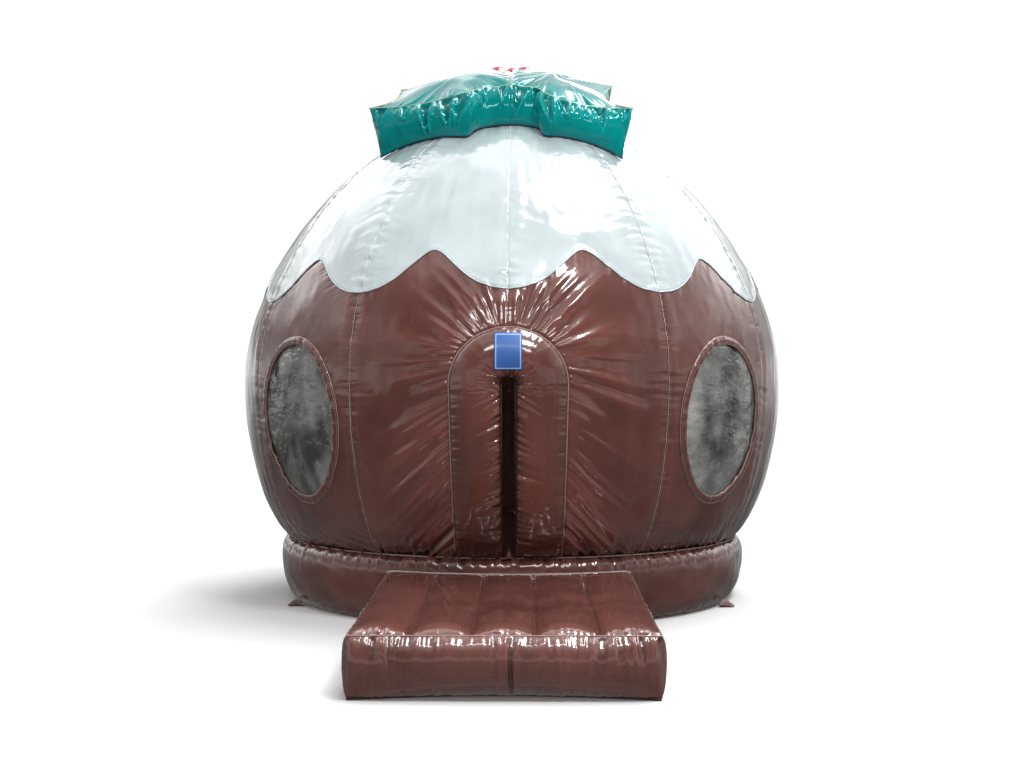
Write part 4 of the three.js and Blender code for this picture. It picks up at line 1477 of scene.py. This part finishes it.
def blow_up(made, held, share, slack=0.0):
    """Blows up a closed cushion as cloth, its held points kept still, and keeps the result.

    No point moves further than a share of the most swell.
    """
    air, scene = settings().air, bpy.context.scene
    start, reach = mesh_points(made.data), air.reach * share
    group_points(made, "held", held)
    modifier = made.modifiers.new("air", "CLOTH")
    for key, value in CLOTH.items():
        setattr(modifier.settings, key, value)
    modifier.settings.uniform_pressure_force = air.pressure
    modifier.settings.effector_weights.gravity = 0.0
    modifier.settings.shrink_min = -slack
    modifier.collision_settings.use_collision = False
    modifier.point_cache.frame_start = 1
    modifier.point_cache.frame_end = air.frames
    for number in range(1, air.frames + 1):
        scene.frame_set(number)
    graph = bpy.context.evaluated_depsgraph_get()
    move = mesh_points(made.evaluated_get(graph).data) - start
    made.modifiers.clear()
    made.vertex_groups.clear()
    scene.frame_set(1)
    length = np.linalg.norm(move, axis=1)[:, None]
    set_points(made, start + move * (reach * np.tanh(length / reach) / np.maximum(length, 1e-9)))


def crease(made, on_seam):
    """Keeps the edges whose two points lie on a seam crisp when the cushion is subdivided."""
    store(made.data, "crease_edge", on_seam[edge_ends(made.data)].all(axis=1) * 0.85, "EDGE")


def subdivide(made):
    """One level of subdivision; returns each point's stored place before the blowing up."""
    modifier = made.modifiers.new("round", "SUBSURF")
    modifier.levels = modifier.render_levels = 1
    plain_mesh(made)
    attributes = made.data.attributes
    rest = read(attributes["rest"].data, "vector", 3)
    attributes.remove(attributes["rest"])
    shade_smooth(made)
    return rest


def push(made, lift, tone=0.0):
    """Moves every point out along its normal and keeps the lift for the painted fold shade; the tone is
    painted light or shade added to that alone, without moving the points.
    """
    paint_fold_shade(made, lift + tone)
    set_points(made, mesh_points(made.data) + mesh_normals(made.data) * lift[:, None])


# -------- entry step


def step_front(x, up):
    """y of the step's front face at a share of its height."""
    middle = np.cos(math.pi / 2 * x / STEP_HALF_WIDTH)
    return STEP_FRONT + STEP_FRONT_PULL * middle * (1.0 - up) ** 2


def step_back(x, radius):
    """y of the step's back where it follows the base round the axis."""
    return -np.sqrt(radius**2 - x**2)


def step_lines(x):
    """y and z of the cushion's lines: up its front, over its top, down its back and under it."""
    channel = np.abs(np.sin(math.pi * (x / STEP_HALF_WIDTH + 1.0) / 2 * STEP_CHANNELS))
    across = np.sqrt(np.maximum(1.0 - (x / STEP_HALF_WIDTH) ** 2, 0.0)) ** 0.5
    front_rows, top_rows, back_rows, under_rows = STEP_ROWS
    lines = []
    for up in np.linspace(0.0, 1.0, front_rows)[:-1] ** 0.8:
        belly = STEP_BELLY * across * math.sin(math.pi * up**1.25) ** 0.80
        lines.append((step_front(x, up) - belly, STEP_FRONT_HEIGHT * up))
    for t in np.linspace(0.0, 1.0, top_rows)[:-1] ** 1.25:
        ahead, behind = min(t / 0.085, 1.0), min((1.0 - t) / 0.10, 1.0)
        rise = math.sqrt(1.0 - (1.0 - ahead) ** 2) * math.sqrt(1.0 - (1.0 - behind) ** 2)
        rise *= mix(1.0, 0.30, min(t / 0.45, 1.0))
        crown = STEP_CROWN * rise * channel ** mix(0.80, 0.40, min(t / 0.25, 1.0))
        lines.append((mix(STEP_FRONT, step_back(x, STEP_BACK_RADIUS), t),
                      mix(STEP_FRONT_HEIGHT, STEP_BACK_HEIGHT, t) + crown))
    radii = (STEP_FOOT_RADIUS, STEP_CONTACT_RADIUS, STEP_CONTACT_RADIUS, STEP_BACK_RADIUS)
    for down in np.linspace(1.0, 0.0, back_rows)[:-1]:
        radius = np.interp(down, (0.0, 0.4, 0.85, 1.0), radii)
        lines.append((step_back(x, radius), STEP_BACK_HEIGHT * down))
    for t in np.linspace(1.0, 0.0, under_rows)[:-1]:
        lines.append((mix(step_front(x, 0.0), step_back(x, STEP_FOOT_RADIUS), t), 0.0))
    return lines


class PUDDING_OT_step(bpy.types.Operator):
    """Blow up the entry step, quilted lengthwise in five channels"""

    bl_idname = "pudding.step"
    bl_label = "Entry step"

    def execute(self, context):
        columns = int(2 * STEP_HALF_WIDTH / STEP_CELL / STEP_CHANNELS) * STEP_CHANNELS + 1
        x = np.linspace(-STEP_HALF_WIDTH, STEP_HALF_WIDTH, columns)
        loop = np.stack([grid_points(x, *line) for line in step_lines(x)])
        rows, total = len(loop), len(loop) * columns
        points, faces = [loop.reshape(-1, 3)], (grid_faces(rows + 1, columns) % total).tolist()
        for column, side in ((0, -1), (columns - 1, 1)):
            rim = loop[:, column]
            outer = np.arange(rows) * columns + column
            spine = self.side_spine(rim)
            for share in (0.92, 0.80, 0.62, 0.42, 0.22):
                ring = spine + (rim - spine) * share
                swell = side * STEP_SIDE_SWELL * math.sqrt(1.0 - share**2)
                ring[:, 0] += swell * smooth(0.0, 0.05, ring[:, 2])
                points.append(ring)
                inner = np.arange(total, total + rows)
                quad = np.stack([outer, np.roll(outer, -1), np.roll(inner, -1), inner], axis=-1)
                faces += (quad if side < 0 else quad[:, ::-1]).tolist()
                outer, total = inner, total + rows
            faces += self.close_side(outer.tolist(), side)
        points = np.vstack(points)
        made = outward(new_object("step_cushion", points, faces))
        store(made.data, "rest", points)
        blow_up(made, self.held(points, rows, columns), 0.2)
        self.pucker(made, subdivide(made))
        finish_piece(made, fabric("step"), "step_coated_fabric", "entry_step")
        self.edges()
        return {"FINISHED"}

    def side_spine(self, rim):
        """For each rim point, the nearest point of the side's lengthwise middle line."""
        spine = rim.copy()
        spine[:, 1] = np.clip(rim[:, 1], rim[:, 1].min() + 0.12, rim[:, 1].max() - 0.12)
        spine[:, 2] = np.interp(spine[:, 1], (STEP_FRONT, -1.6), (0.14, 0.167))
        return spine

    def close_side(self, ring, side):
        """Joins the last ring's upper half to its lower half."""
        start, end = (STEP_ROWS[0] - 1) // 2, STEP_ROWS[0] + STEP_ROWS[1] + 4
        upper, lower = ring[start:end], (ring[end:] + ring[:start])[::-1]
        faces, i, j = [], 0, 0
        while i < len(upper) - 1 or j < len(lower) - 1:
            if j == len(lower) - 1 or (i < len(upper) - 1 and i * len(lower) <= j * len(upper)):
                faces.append((upper[i], upper[i + 1], lower[j]))
                i += 1
            else:
                faces.append((upper[i], lower[j + 1], lower[j]))
                j += 1
        return faces if side < 0 else [face[::-1] for face in faces]

    def held(self, points, rows, columns):
        """Seams, sewn edges and the whole underside stay where they are."""
        x, z = points[:, 0], points[:, 2]
        row = np.arange(len(points)) // columns
        front, rear = STEP_ROWS[0] - 1, STEP_ROWS[0] + STEP_ROWS[1] - 2
        edge = np.abs(np.abs(x) - STEP_HALF_WIDTH) < 1e-4
        seams = np.linspace(-STEP_HALF_WIDTH, STEP_HALF_WIDTH, STEP_CHANNELS + 1)[1:-1]
        on_seam = (np.abs(x[:, None] - seams) < 1e-3).any(axis=1) & (row >= front) & (row <= rear)
        sewn = edge | on_seam | np.isin(row, (0, front, rear)) | (row > rear)
        return (sewn & (row < rows)) | (z < 1e-4)

    def pucker(self, made, rest):
        """Fine folds at the seams, sharpest along the front's upper edge."""
        x, y, z = rest.T
        share = (x + STEP_HALF_WIDTH) / (2 * STEP_HALF_WIDTH) * STEP_CHANNELS
        nearest = np.round(share)
        off = (share - nearest) * 2 * STEP_HALF_WIDTH / STEP_CHANNELS
        inner_seam = (nearest > 0) & (nearest < STEP_CHANNELS)
        level = np.interp(y, (STEP_FRONT, -STEP_BACK_RADIUS), (STEP_FRONT_HEIGHT, STEP_BACK_HEIGHT))
        from_front, from_side, from_top = y - STEP_FRONT, np.abs(x) - STEP_HALF_WIDTH, level - z
        top = smooth(0.02, -0.001, from_top) * smooth(-0.002, 0.004, from_front)
        front = smooth(0.012, 0.0, from_front - STEP_FRONT_PULL) * (1 - top)
        front = front * smooth(0.008, -0.004, from_side)
        lift = -0.006 * top * inner_seam * np.exp(-((off / 0.008) ** 2))
        for number in range(STEP_CHANNELS + 1):
            here = nearest == number
            lift[here] += top[here] * puckers(y[here], off[here], 0.036, 0.0016, 0.028, 811 + number)
        lively = 0.45 + 0.75 * smooth(-0.3, 0.3, ripple(x, 0.36, 819) + 0.5 * x)
        fold = folds(x, from_front, (0.021, 0.0050, 0.065, 821), (0.044, 0.0060, 0.100, 823))
        lift += top * lively * fold * smooth(0.0, 0.015, from_front)
        drop = STEP_FRONT_HEIGHT - z
        slant = x + 0.25 * drop * ripple(x, 0.15, 835)
        fold = folds(slant, drop, (0.020, 0.0080, 0.085, 831), (0.044, 0.0120, 0.140, 833))
        lift += front * lively * fold * smooth(0.0, 0.012, drop)
        lift += front * puckers(x, z, 0.040, 0.0040, 0.050, 837) * smooth(0.0, 0.012, z)
        middle = (x - 0.026 - 0.05 * (drop - 0.12)) / 0.008
        deep = np.exp(-(middle**2)) * smooth(0.02, 0.06, z) * smooth(0.0, 0.03, drop)
        lift -= front * 0.020 * deep
        side = smooth(-0.002, 0.004, from_side)
        lift += side * puckers(y, from_top, 0.045, 0.0045, 0.060, 841) * smooth(0.0, 0.012, from_top)
        lift += 0.0014 * swell_noise(x * 6.0, y * 6.0 + z * 6.0, 851)
        lift *= smooth(0.0, 0.02, z)
        # Painted light: the step's top is painted lighter through the fold shade.
        push(made, lift, STEP_TOP_PAINTED_LIGHT * top)
        points = mesh_points(made.data)
        points[:, 2] = np.maximum(points[:, 2], 0.0)
        set_points(made, points)

    def edges(self):
        """Piping along the front's upper and lower edges and the back's upper edge."""
        bend = 0.035
        x = np.linspace(-STEP_HALF_WIDTH + 0.004, STEP_HALF_WIDTH - 0.004, 120)
        upper = grid_points(x, STEP_FRONT - 0.001, STEP_FRONT_HEIGHT)
        foot = grid_points(x, step_front(x, 0.0) - 0.004, 0.007)
        turn = np.linspace(0.0, math.pi / 2, 12)
        x = np.linspace(bend - STEP_HALF_WIDTH, STEP_HALF_WIDTH - bend, 120)
        end_x, ahead = STEP_HALF_WIDTH - bend + bend * np.sin(turn), bend * (1.0 - np.cos(turn))
        y = step_back(x, STEP_BACK_RADIUS)
        x = np.concatenate([-end_x[:0:-1], x, end_x[1:]])
        y = np.concatenate([y[0] - ahead[:0:-1], y, y[-1] - ahead[1:]])
        rear = grid_points(x, y, STEP_BACK_HEIGHT + 0.001)
        for name, line, radius, material in (
                ("step_front_piping", upper, 0.0032, tan_thread()),
                ("step_back_piping", rear, 0.0045, thread_material("thread_light", (0.52, 0.44, 0.41))),
                ("step_ground_hem", foot, 0.0060, thread_material("hem_dark", (0.045, 0.022, 0.020)))):
            away = np.tile([0.0, -0.7, 0.7], (len(line), 1))
            welts(name, [(line, away, False)], radius, material, "step_coated_fabric")


# -------- holly


def on_icing(xy, lift=LEAF_LIFT):
    """Places over the dome's top at a height above its smooth face."""
    return np.column_stack([xy, height_at_radius(np.hypot(*xy.T)) + lift])


def leaf_rings(corners):
    """Foot and rim of a leaf's wall, point by point, and how far its wall bulges out there."""
    hand = 1.0 if corners[2][0] > 0 else -1.0
    total = len(corners)
    foot_xy = np.array([corner[:2] for corner in corners])
    middle = foot_xy.mean(axis=0)
    rims, across, ways = [], [], []
    for xy, after, (x, _, out, up, _) in zip(foot_xy, np.roll(foot_xy, -1, axis=0), corners):
        away = np.zeros(2) if abs(x) < 0.001 else (xy - middle) * out / np.linalg.norm(xy - middle)
        rims.append(on_icing(xy[None])[0] + [*away, up])
        across.append(np.array([(xy - after)[1] * hand, (after - xy)[0] * hand]))
        ways.append(-across[-1] / np.linalg.norm(across[-1]))
    rounded = np.zeros((total, 2))
    rounded[0, 1] = -LEAF_BELLY * 1.2
    rounded[2] = (ways[1] + ways[2]) * LEAF_BELLY * 0.75
    bellies = (LEAF_BELLY * 1.2, LEAF_BELLY * 0.7, LEAF_BELLY, 0.014, 0.030, 0.030, 0.0)
    foot, rim, bulge, sides, shares = [], [], [], [], []
    for number, (_, _, _, up, draw) in enumerate(corners):
        after = (number + 1) % total
        count = max(8, int(round(np.linalg.norm(across[number]) / LEAF_SPACING)))
        t = (np.arange(count) / count)[:, None]
        bow = 4 * t * (1 - t) * draw * across[number]
        arch = np.sin(math.pi * t)
        line = on_icing(mix(foot_xy[number], foot_xy[after], t) + bow)
        top = mix(rims[number], rims[after], t)
        full = arch**0.45
        swell = ways[number] * bellies[number] * full
        swell += (1.0 - full) * np.where(t < 0.5, rounded[number], rounded[after])
        if after == 0:
            top[:, 2] = line[:, 2] + mix(up, corners[0][3], t[:, 0])
            swell[1:] = 0.0
        else:
            sag = arch if number else arch**2
            top[:, :2] += bow - ways[number] * 0.012 * sag
            top[:, 2] -= 0.024 * sag[:, 0]
        for kept, values in ((foot, line), (rim, top), (bulge, swell), (sides, np.full(count, number)),
                             (shares, t[:, 0])):
            kept.append(values)
    foot, rim, bulge = np.vstack(foot), np.vstack(rim), np.vstack(bulge)
    sides, shares = np.concatenate(sides), np.concatenate(shares)
    ears = (shares == 0) & np.isin(sides, (0, 3, 4, 5, 6))
    soft = np.isin(sides, (0, 1, 2)) & ~ears
    for line, times in ((rim, 14), (foot, 6), (bulge, 10)):
        for _ in range(times):
            even = (np.roll(line, 1, axis=0) + line + np.roll(line, -1, axis=0)) / 3
            line[soft] = even[soft]
    return foot, rim, bulge, sides, shares


UNDER, WALL, SEAM, TOP = range(4)  # parts of a leaf's cushion


class PUDDING_OT_leaves(bpy.types.Operator):
    """Blow up the two boxed holly leaves on the crown"""

    bl_idname = "pudding.leaves"
    bl_label = "Holly leaves"

    def execute(self, context):
        self.leaf("left", LEFT_LEAF, 911)
        self.leaf("right", RIGHT_LEAF, 941)
        return {"FINISHED"}

    def leaf(self, label, corners, seed):
        foot, rim, bulge, sides, shares = leaf_rings(corners)
        count = len(foot)
        middle = np.mean([corner[:2] for corner in corners], axis=0)
        joined = sides == len(corners) - 1
        at_middle = joined | np.roll(joined, 1)
        sharp = (shares == 0) & ~np.isin(sides, (1, 2))
        steps = np.linalg.norm(np.roll(rim, -1, axis=0) - rim, axis=1)
        along = np.concatenate([[0.0], np.cumsum(steps)])
        height = np.linalg.norm(rim - foot, axis=1)
        inwards = np.linalg.norm(rim[:, :2] - middle, axis=1)
        rings = []  # points, part, way down the wall and way in from the rim
        for share in (0.34, 0.67):
            rings.append((on_icing(middle + (foot[:, :2] - middle) * share), UNDER, height, 0 * height))
        for t in np.linspace(0.0, 1.0, LEAF_WALL_ROWS):
            ring = mix(foot, rim, t)
            ring[:, :2] += bulge * math.sin(math.pi * t) ** 0.55
            pull = (middle - ring[:, :2]) * 0.015 * math.sin(math.pi * t)
            ring[:, :2] += pull * (sharp & ~at_middle)[:, None]
            rings.append((ring, WALL if 0 < t < 1 else SEAM, height * (1.0 - t), 0 * height))
        for share in 1.0 - np.linspace(0.0, 1.0, 20)[1:-1] ** 1.25:
            ring = on_icing(middle + (rim[:, :2] - middle) * share, LEAF_THICKNESS + 0.002)
            ring[:, 2] = mix(ring[:, 2], rim[:, 2], share**3.5) + 0.014 * (1.0 - share**10)
            rings.append((ring, TOP, 0 * height, inwards * (1.0 - share)))
        faces = grid_faces(len(rings), count, wrap=True).tolist()
        last = (len(rings) - 1) * count
        faces += [range(count), range(last, last + count)[::-1]]
        points, parts, down, inwards = (np.array(values) for values in zip(*rings))
        made = outward(new_object(f"leaf_cushion_{label}", points.reshape(-1, 3), faces))
        store(made.data, "rest", grid_points(along[:-1], down, inwards))
        part = np.repeat(parts, count)
        corner_line = np.tile(sharp, len(rings)) & (part == WALL)
        held = (part == UNDER) | (part == SEAM) | corner_line
        held |= np.tile(at_middle, len(rings)) & (part != TOP)
        blow_up(made, held, 0.3, slack=0.015)
        crease(made, (part == SEAM) | corner_line)
        self.even_out(made, np.arange(part.size) >= (LEAF_WALL_ROWS + 4) * count)
        place = subdivide(made)
        made.vertex_groups.clear()
        ends = [along[np.argmax(sides == number)] for number in (3, 4)]
        self.pucker(made, place, along[-1], ends, seed)
        self.flatten_join(made)
        finish_piece(made, fabric("leaf"), "green_coated_fabric", f"holly_leaf_{label}")
        start = int(np.argmax(~joined & np.roll(joined, 1)))
        order = [k for k in np.roll(np.arange(count), -start) if not joined[k]]
        foot_line = foot[order] + np.column_stack([bulge[order] * 0.06, np.full(len(order), 0.003)])
        edge = thread_material("leaf_edge", (0.55, 0.66, 0.42))
        hem = thread_material("leaf_foot", (0.004, 0.020, 0.075))
        away = np.tile([0.0, 0.0, 1.0], (len(order), 1))
        for kind, line, radius, material in (
                ("top", rim[order] + [0, 0, 0.001], 0.0026, edge), ("foot", foot_line, 0.0045, hem)):
            welts(f"leaf_{kind}_edge_{label}", [(line, away, False)], radius, material,
                  "green_coated_fabric")

    def even_out(self, made, chosen):
        """Takes the small wrinkles out of the chosen points when the modifiers are applied."""
        group_points(made, "even", chosen)
        even = made.modifiers.new("even", "SMOOTH")
        even.iterations = 14
        even.vertex_group = "even"

    def pucker(self, made, place, total, ends, seed):
        """Creases that close to points down the wall, and short gathers along the upper seam."""
        along, down, inwards = place.T
        x, y, z = mesh_points(made.data).T
        wall, away = smooth(0.0, 0.008, down), down + inwards
        lift = wall * darts(along, down, total, 0.115, 0.0340, 0.210, 0.26, seed)
        lift += wall * darts(along, down, total, 0.070, 0.0120, 0.090, 0.32, seed + 3)
        lift += puckers(along, away, 0.046, 0.0050, 0.040, seed + 5) * smooth(0.0, 0.01, away)
        lift += puckers(along, inwards, 0.085, 0.0070, 0.100, seed + 7) * smooth(0.0, 0.02, inwards)
        up = np.maximum(0.285 - down, 0.0)
        lift += wall * puckers(along, up, 0.090, 0.0085, 0.095, seed + 9) * smooth(0.0, 0.03, up)
        lift += 0.004 * swell_noise(x * 5.0, y * 5.0 + z * 5.0, 921)
        lift *= ~((down > 0.2) & (mesh_normals(made.data)[:, 2] < -0.5))
        calm = smooth(ends[0] - 0.03, ends[0] + 0.01, along) * smooth(ends[1] + 0.03, ends[1], along)
        lift *= (1.0 - 0.85 * calm) * smooth(0.0, 0.05, np.abs(x))
        push(made, lift)

    def flatten_join(self, made):
        """Splits the shading at the flat wall between the two leaves, so that no dark line shows."""
        on_plane = np.abs(mesh_points(made.data)[:, 0]) < 0.0025
        sharp = on_plane[edge_ends(made.data)].all(axis=1)
        made.data.edges.foreach_set("use_edge_sharp", sharp)
        made.data.update()


class PUDDING_OT_berries(bpy.types.Operator):
    """Set the three round berries between the leaves"""

    bl_idname = "pudding.berries"
    bl_label = "Berries"

    def execute(self, context):
        rings, turns, tip = 36, 60, BERRY_RADIUS * 0.965
        ring = np.arange(turns)
        p, a = np.meshgrid(np.linspace(0.0, math.pi, rings + 2)[1:-1], around(turns), indexing="ij")
        for number, (label, place) in enumerate(BERRIES.items()):
            r = BERRY_RADIUS * (0.975 + 0.022 * np.abs(np.sin(a * 3.0)) ** 0.5 * np.sin(p))
            r += 0.0012 * swell_noise(a * 5.0, p * 6.0, 951 + number) * np.sin(p)
            ball = grid_points(r * np.sin(p) * np.cos(a), r * np.sin(p) * np.sin(a), r * np.cos(p))
            points = np.vstack([ball, [[0, 0, tip], [0, 0, -tip]]]) + place
            faces = grid_faces(rings, turns, wrap=True).tolist()
            faces += fan(ring[::-1], len(ball)) + fan(ring + len(ball) - turns, len(ball) + 1)
            made = closed_form(f"berry_ball_{label}", points, faces)
            finish_piece(made, fabric("berry"), "red_coated_fabric", f"berry_{label}")
        return {"FINISHED"}


# -------- stage


CAMERA_TURN = math.radians(0.64)
CAMERA_TILT = 0.017
CAMERA_LENS = 42.64
AIM_HEIGHT = 1.6  # the lights point at this height of the axis
# Brightness of the room before and behind the dome by height of the direction, from -1 to 1.
FRONT_TONES = (
    (-1.0, 0.18), (-0.27, 0.16), (-0.13, 0.07), (-0.060, 0.06), (-0.035, 0.46), (0.17, 0.50),
    (0.27, 0.09), (0.50, 0.10), (0.63, 0.22), (0.76, 0.85), (1.0, 0.95),
)
BACK_TONES = (
    (-1.0, 0.16), (-0.20, 0.16), (-0.06, 0.35), (0.03, 0.85), (0.07, 0.80), (0.12, 0.45),
    (0.22, 0.45), (0.30, 1.00), (0.42, 1.30), (0.75, 1.30),
)


class PUDDING_OT_stage(bpy.types.Operator):
    """Lay the pale floor, hang the lights and set up the camera"""

    bl_idname = "pudding.stage"
    bl_label = "Stage"

    def execute(self, context):
        studio = settings().studio
        self.floor()
        self.world()
        self.hang("overhead_light", "SUN", 68.0, 120.0, 7.5, energy=studio.overhead,
                  angle=math.radians(46.0))
        for name, way, energy, size in (
                ("front_light", (41.0, 24.0, 8.0), studio.front_power, (1.6, 1.1)),
                ("step_light", (22.0, 0.0, 4.85), studio.step_power, (2.6, 0.35)),
                ("rear_light", (34.0, 172.0, 8.5), studio.rear_power, (4.5, 2.5))):
            self.hang(name, "AREA", *way, energy=energy, shape="RECTANGLE", size=size[0], size_y=size[1])
        self.hang("cabin_light", "POINT", 0.0, 0.0, 0.0, energy=studio.cabin_power, shadow_soft_size=0.4)
        self.camera(context.scene, studio)
        context.scene.view_settings.view_transform = "Standard"
        return {"FINISHED"}

    def hang(self, name, kind, elevation, azimuth, distance, **values):
        """Hangs a light round the dome, pointed at its axis; area lights alone show in the gloss."""
        data = bpy.data.lights.new(name, kind)
        for key, value in values.items():
            setattr(data, key, value)
        made = link(name, data)
        e, a = math.radians(elevation), math.radians(azimuth)
        way = Vector((math.cos(e) * math.sin(a), -math.cos(e) * math.cos(a), math.sin(e)))
        made.location = Vector((0.0, 0.0, AIM_HEIGHT)) + way * distance
        made.rotation_euler = way.to_track_quat("Z", "Y").to_euler()
        made.visible_camera = False
        made.visible_glossy = kind == "AREA"

    def camera(self, scene, studio):
        data = bpy.data.cameras.new("camera")
        data.sensor_width = 36.0
        data.lens = CAMERA_LENS
        made = link("camera", data)
        back = Vector((math.sin(CAMERA_TURN), -math.cos(CAMERA_TURN), 0.0))
        made.location = back * studio.camera_distance + Vector((0.0, 0.0, studio.camera_height))
        made.rotation_euler = (math.pi / 2 + CAMERA_TILT, 0.0, CAMERA_TURN)
        scene.camera = made

    def floor(self):
        """A wide pale ground that doesn't show in the gloss and sends no light up."""
        half = 400.0
        corners = [(-half, -half, 0), (half, -half, 0), (half, half, 0), (-half, half, 0)]
        made = new_object("floor", corners, [(0, 1, 2, 3)])
        material, tree, surface = shader("pale_floor", (0.93, 0.93, 0.93), roughness=0.9,
                                         specular_ior_level=0.1)
        tone = ramp(tree, noise(tree, 0.7, 2.0), (0.3, (0.945,) * 3), (0.7, (0.965,) * 3))
        tree.links.new(tone, surface.inputs["Base Color"])
        made.data.materials.append(material)
        made.visible_glossy = made.visible_diffuse = False

    def world(self):
        """White for the camera, an even light on the fabric, and a darker room in the gloss."""
        world = bpy.data.worlds.new("studio")
        bpy.context.scene.world = world
        world.use_nodes = True
        tree = world.node_tree
        kind = add(tree, "ShaderNodeLightPath")
        shown = tree.nodes["Background"]
        shown.inputs["Color"].default_value = (0.97, 0.985, 1.0, 1.0)
        shown.inputs["Strength"].default_value = 0.56
        room = add(tree, "ShaderNodeBackground")
        tree.links.new(self.room_tone(tree), room.inputs["Color"])
        white = add(tree, "ShaderNodeBackground", {"Color": (1.0, 1.0, 1.0, 1.0), "Strength": 1.05})
        for test, tone in (("Is Glossy Ray", room), ("Is Camera Ray", white)):
            choose = add(tree, "ShaderNodeMixShader")
            join(tree, (kind.outputs[test], choose.inputs[0]), (shown.outputs[0], choose.inputs[1]),
                 (tone.outputs[0], choose.inputs[2]))
            shown = choose
        tree.links.new(shown.outputs[0], tree.nodes["World Output"].inputs["Surface"])

    def room_tone(self, tree):
        """Brightness of the room that the gloss reflects, by direction."""

        def result(kind, *values):
            return maths(tree, kind, *values)

        def step(value, low, high, start=0.0, end=1.0):
            node = add(tree, "ShaderNodeMapRange", interpolation_type="SMOOTHSTEP", inputs={
                "From Min": low, "From Max": high, "To Min": start, "To Max": end})
            tree.links.new(value, node.inputs["Value"])
            return node.outputs["Result"]

        def tones(stops):
            level = result("MULTIPLY_ADD", up, 0.5, 0.5)
            return ramp(tree, level, *(((height + 1.0) / 2.0, (tone,) * 3) for height, tone in stops))

        place = add(tree, "ShaderNodeTexCoord")
        split = add(tree, "ShaderNodeSeparateXYZ")
        texture = add(tree, "ShaderNodeTexNoise", {"Scale": 4.5, "Detail": 4.0})
        right, back, up = split.outputs
        beside = result("ABSOLUTE", right)
        side = result("MULTIPLY", step(beside, 0.60, 0.97), 0.78)
        blend = add(tree, "ShaderNodeMix", data_type="FLOAT")
        join(tree, (place.outputs["Generated"], split.inputs["Vector"]),
             (place.outputs["Generated"], texture.inputs["Vector"]),
             (result("MAXIMUM", step(back, 0.02, 0.45), side), blend.inputs["Factor"]),
             (tones(FRONT_TONES), blend.inputs["A"]), (tones(BACK_TONES), blend.inputs["B"]))
        uneven = step(texture.outputs["Fac"], 0.36, 0.66, 0.66, 1.30)
        tone = result("MULTIPLY", blend.outputs["Result"], uneven)
        aside = result("SUBTRACT", right, 0.31)
        across = result("DIVIDE", aside, 0.21)
        ahead = result("SUBTRACT", result("SUBTRACT", back, result("MULTIPLY", aside, 0.35)), 0.06)
        along = result("DIVIDE", ahead, 0.33)
        reach = result("ADD", result("MULTIPLY", across, across), result("MULTIPLY", along, along))
        window = result("MULTIPLY", step(reach, 1.25, 0.75), step(up, 0.15, 0.4))
        lit = result("MULTIPLY", window, settings().studio.skylight)
        rear = result("MULTIPLY", step(beside, 0.22, 0.50), step(back, 0.05, 0.35))
        rear = result("MULTIPLY", result("MULTIPLY", rear, step(up, 0.30, 0.45)), 0.9)
        return result("ADD", result("ADD", tone, lit), rear)


# -------- add-on

PIECES = (
    PUDDING_OT_stage,
    PUDDING_OT_gores,
    PUDDING_OT_seams,
    PUDDING_OT_windows,
    PUDDING_OT_door,
    PUDDING_OT_base,
    PUDDING_OT_step,
    PUDDING_OT_leaves,
    PUDDING_OT_berries,
)


class PUDDING_PT_panel(bpy.types.Panel):
    """Lists the dome's settings and pieces in the sidebar"""

    bl_idname = "PUDDING_PT_panel"
    bl_label = "Pudding Dome"
    bl_space_type = "VIEW_3D"
    bl_region_type = "UI"
    bl_category = "Pudding Dome"

    def draw(self, context):
        chosen = context.scene.pudding_dome
        for label in ("colours", "sewing", "air", "studio"):
            group = getattr(chosen, label)
            box = self.layout.box()
            box.label(text=label.title())
            for name in group.bl_rna.properties.keys():
                if name not in ("rna_type", "name"):
                    box.prop(group, name)
        for piece in PIECES:
            self.layout.operator(piece.bl_idname)


CLASSES = (PuddingColours, PuddingSewing, PuddingAir, PuddingStudio, PuddingSettings, *PIECES,
           PUDDING_PT_panel)


def register():
    for item in CLASSES:
        bpy.utils.register_class(item)
    bpy.types.Scene.pudding_dome = PointerProperty(type=PuddingSettings)


def unregister():
    del bpy.types.Scene.pudding_dome
    for item in reversed(CLASSES):
        bpy.utils.unregister_class(item)


def main():
    """Builds every piece in order."""
    register()
    for piece in PIECES:
        group, name = piece.bl_idname.split(".")
        getattr(getattr(bpy.ops, group), name)()


if __name__ == "__main__":
    main()
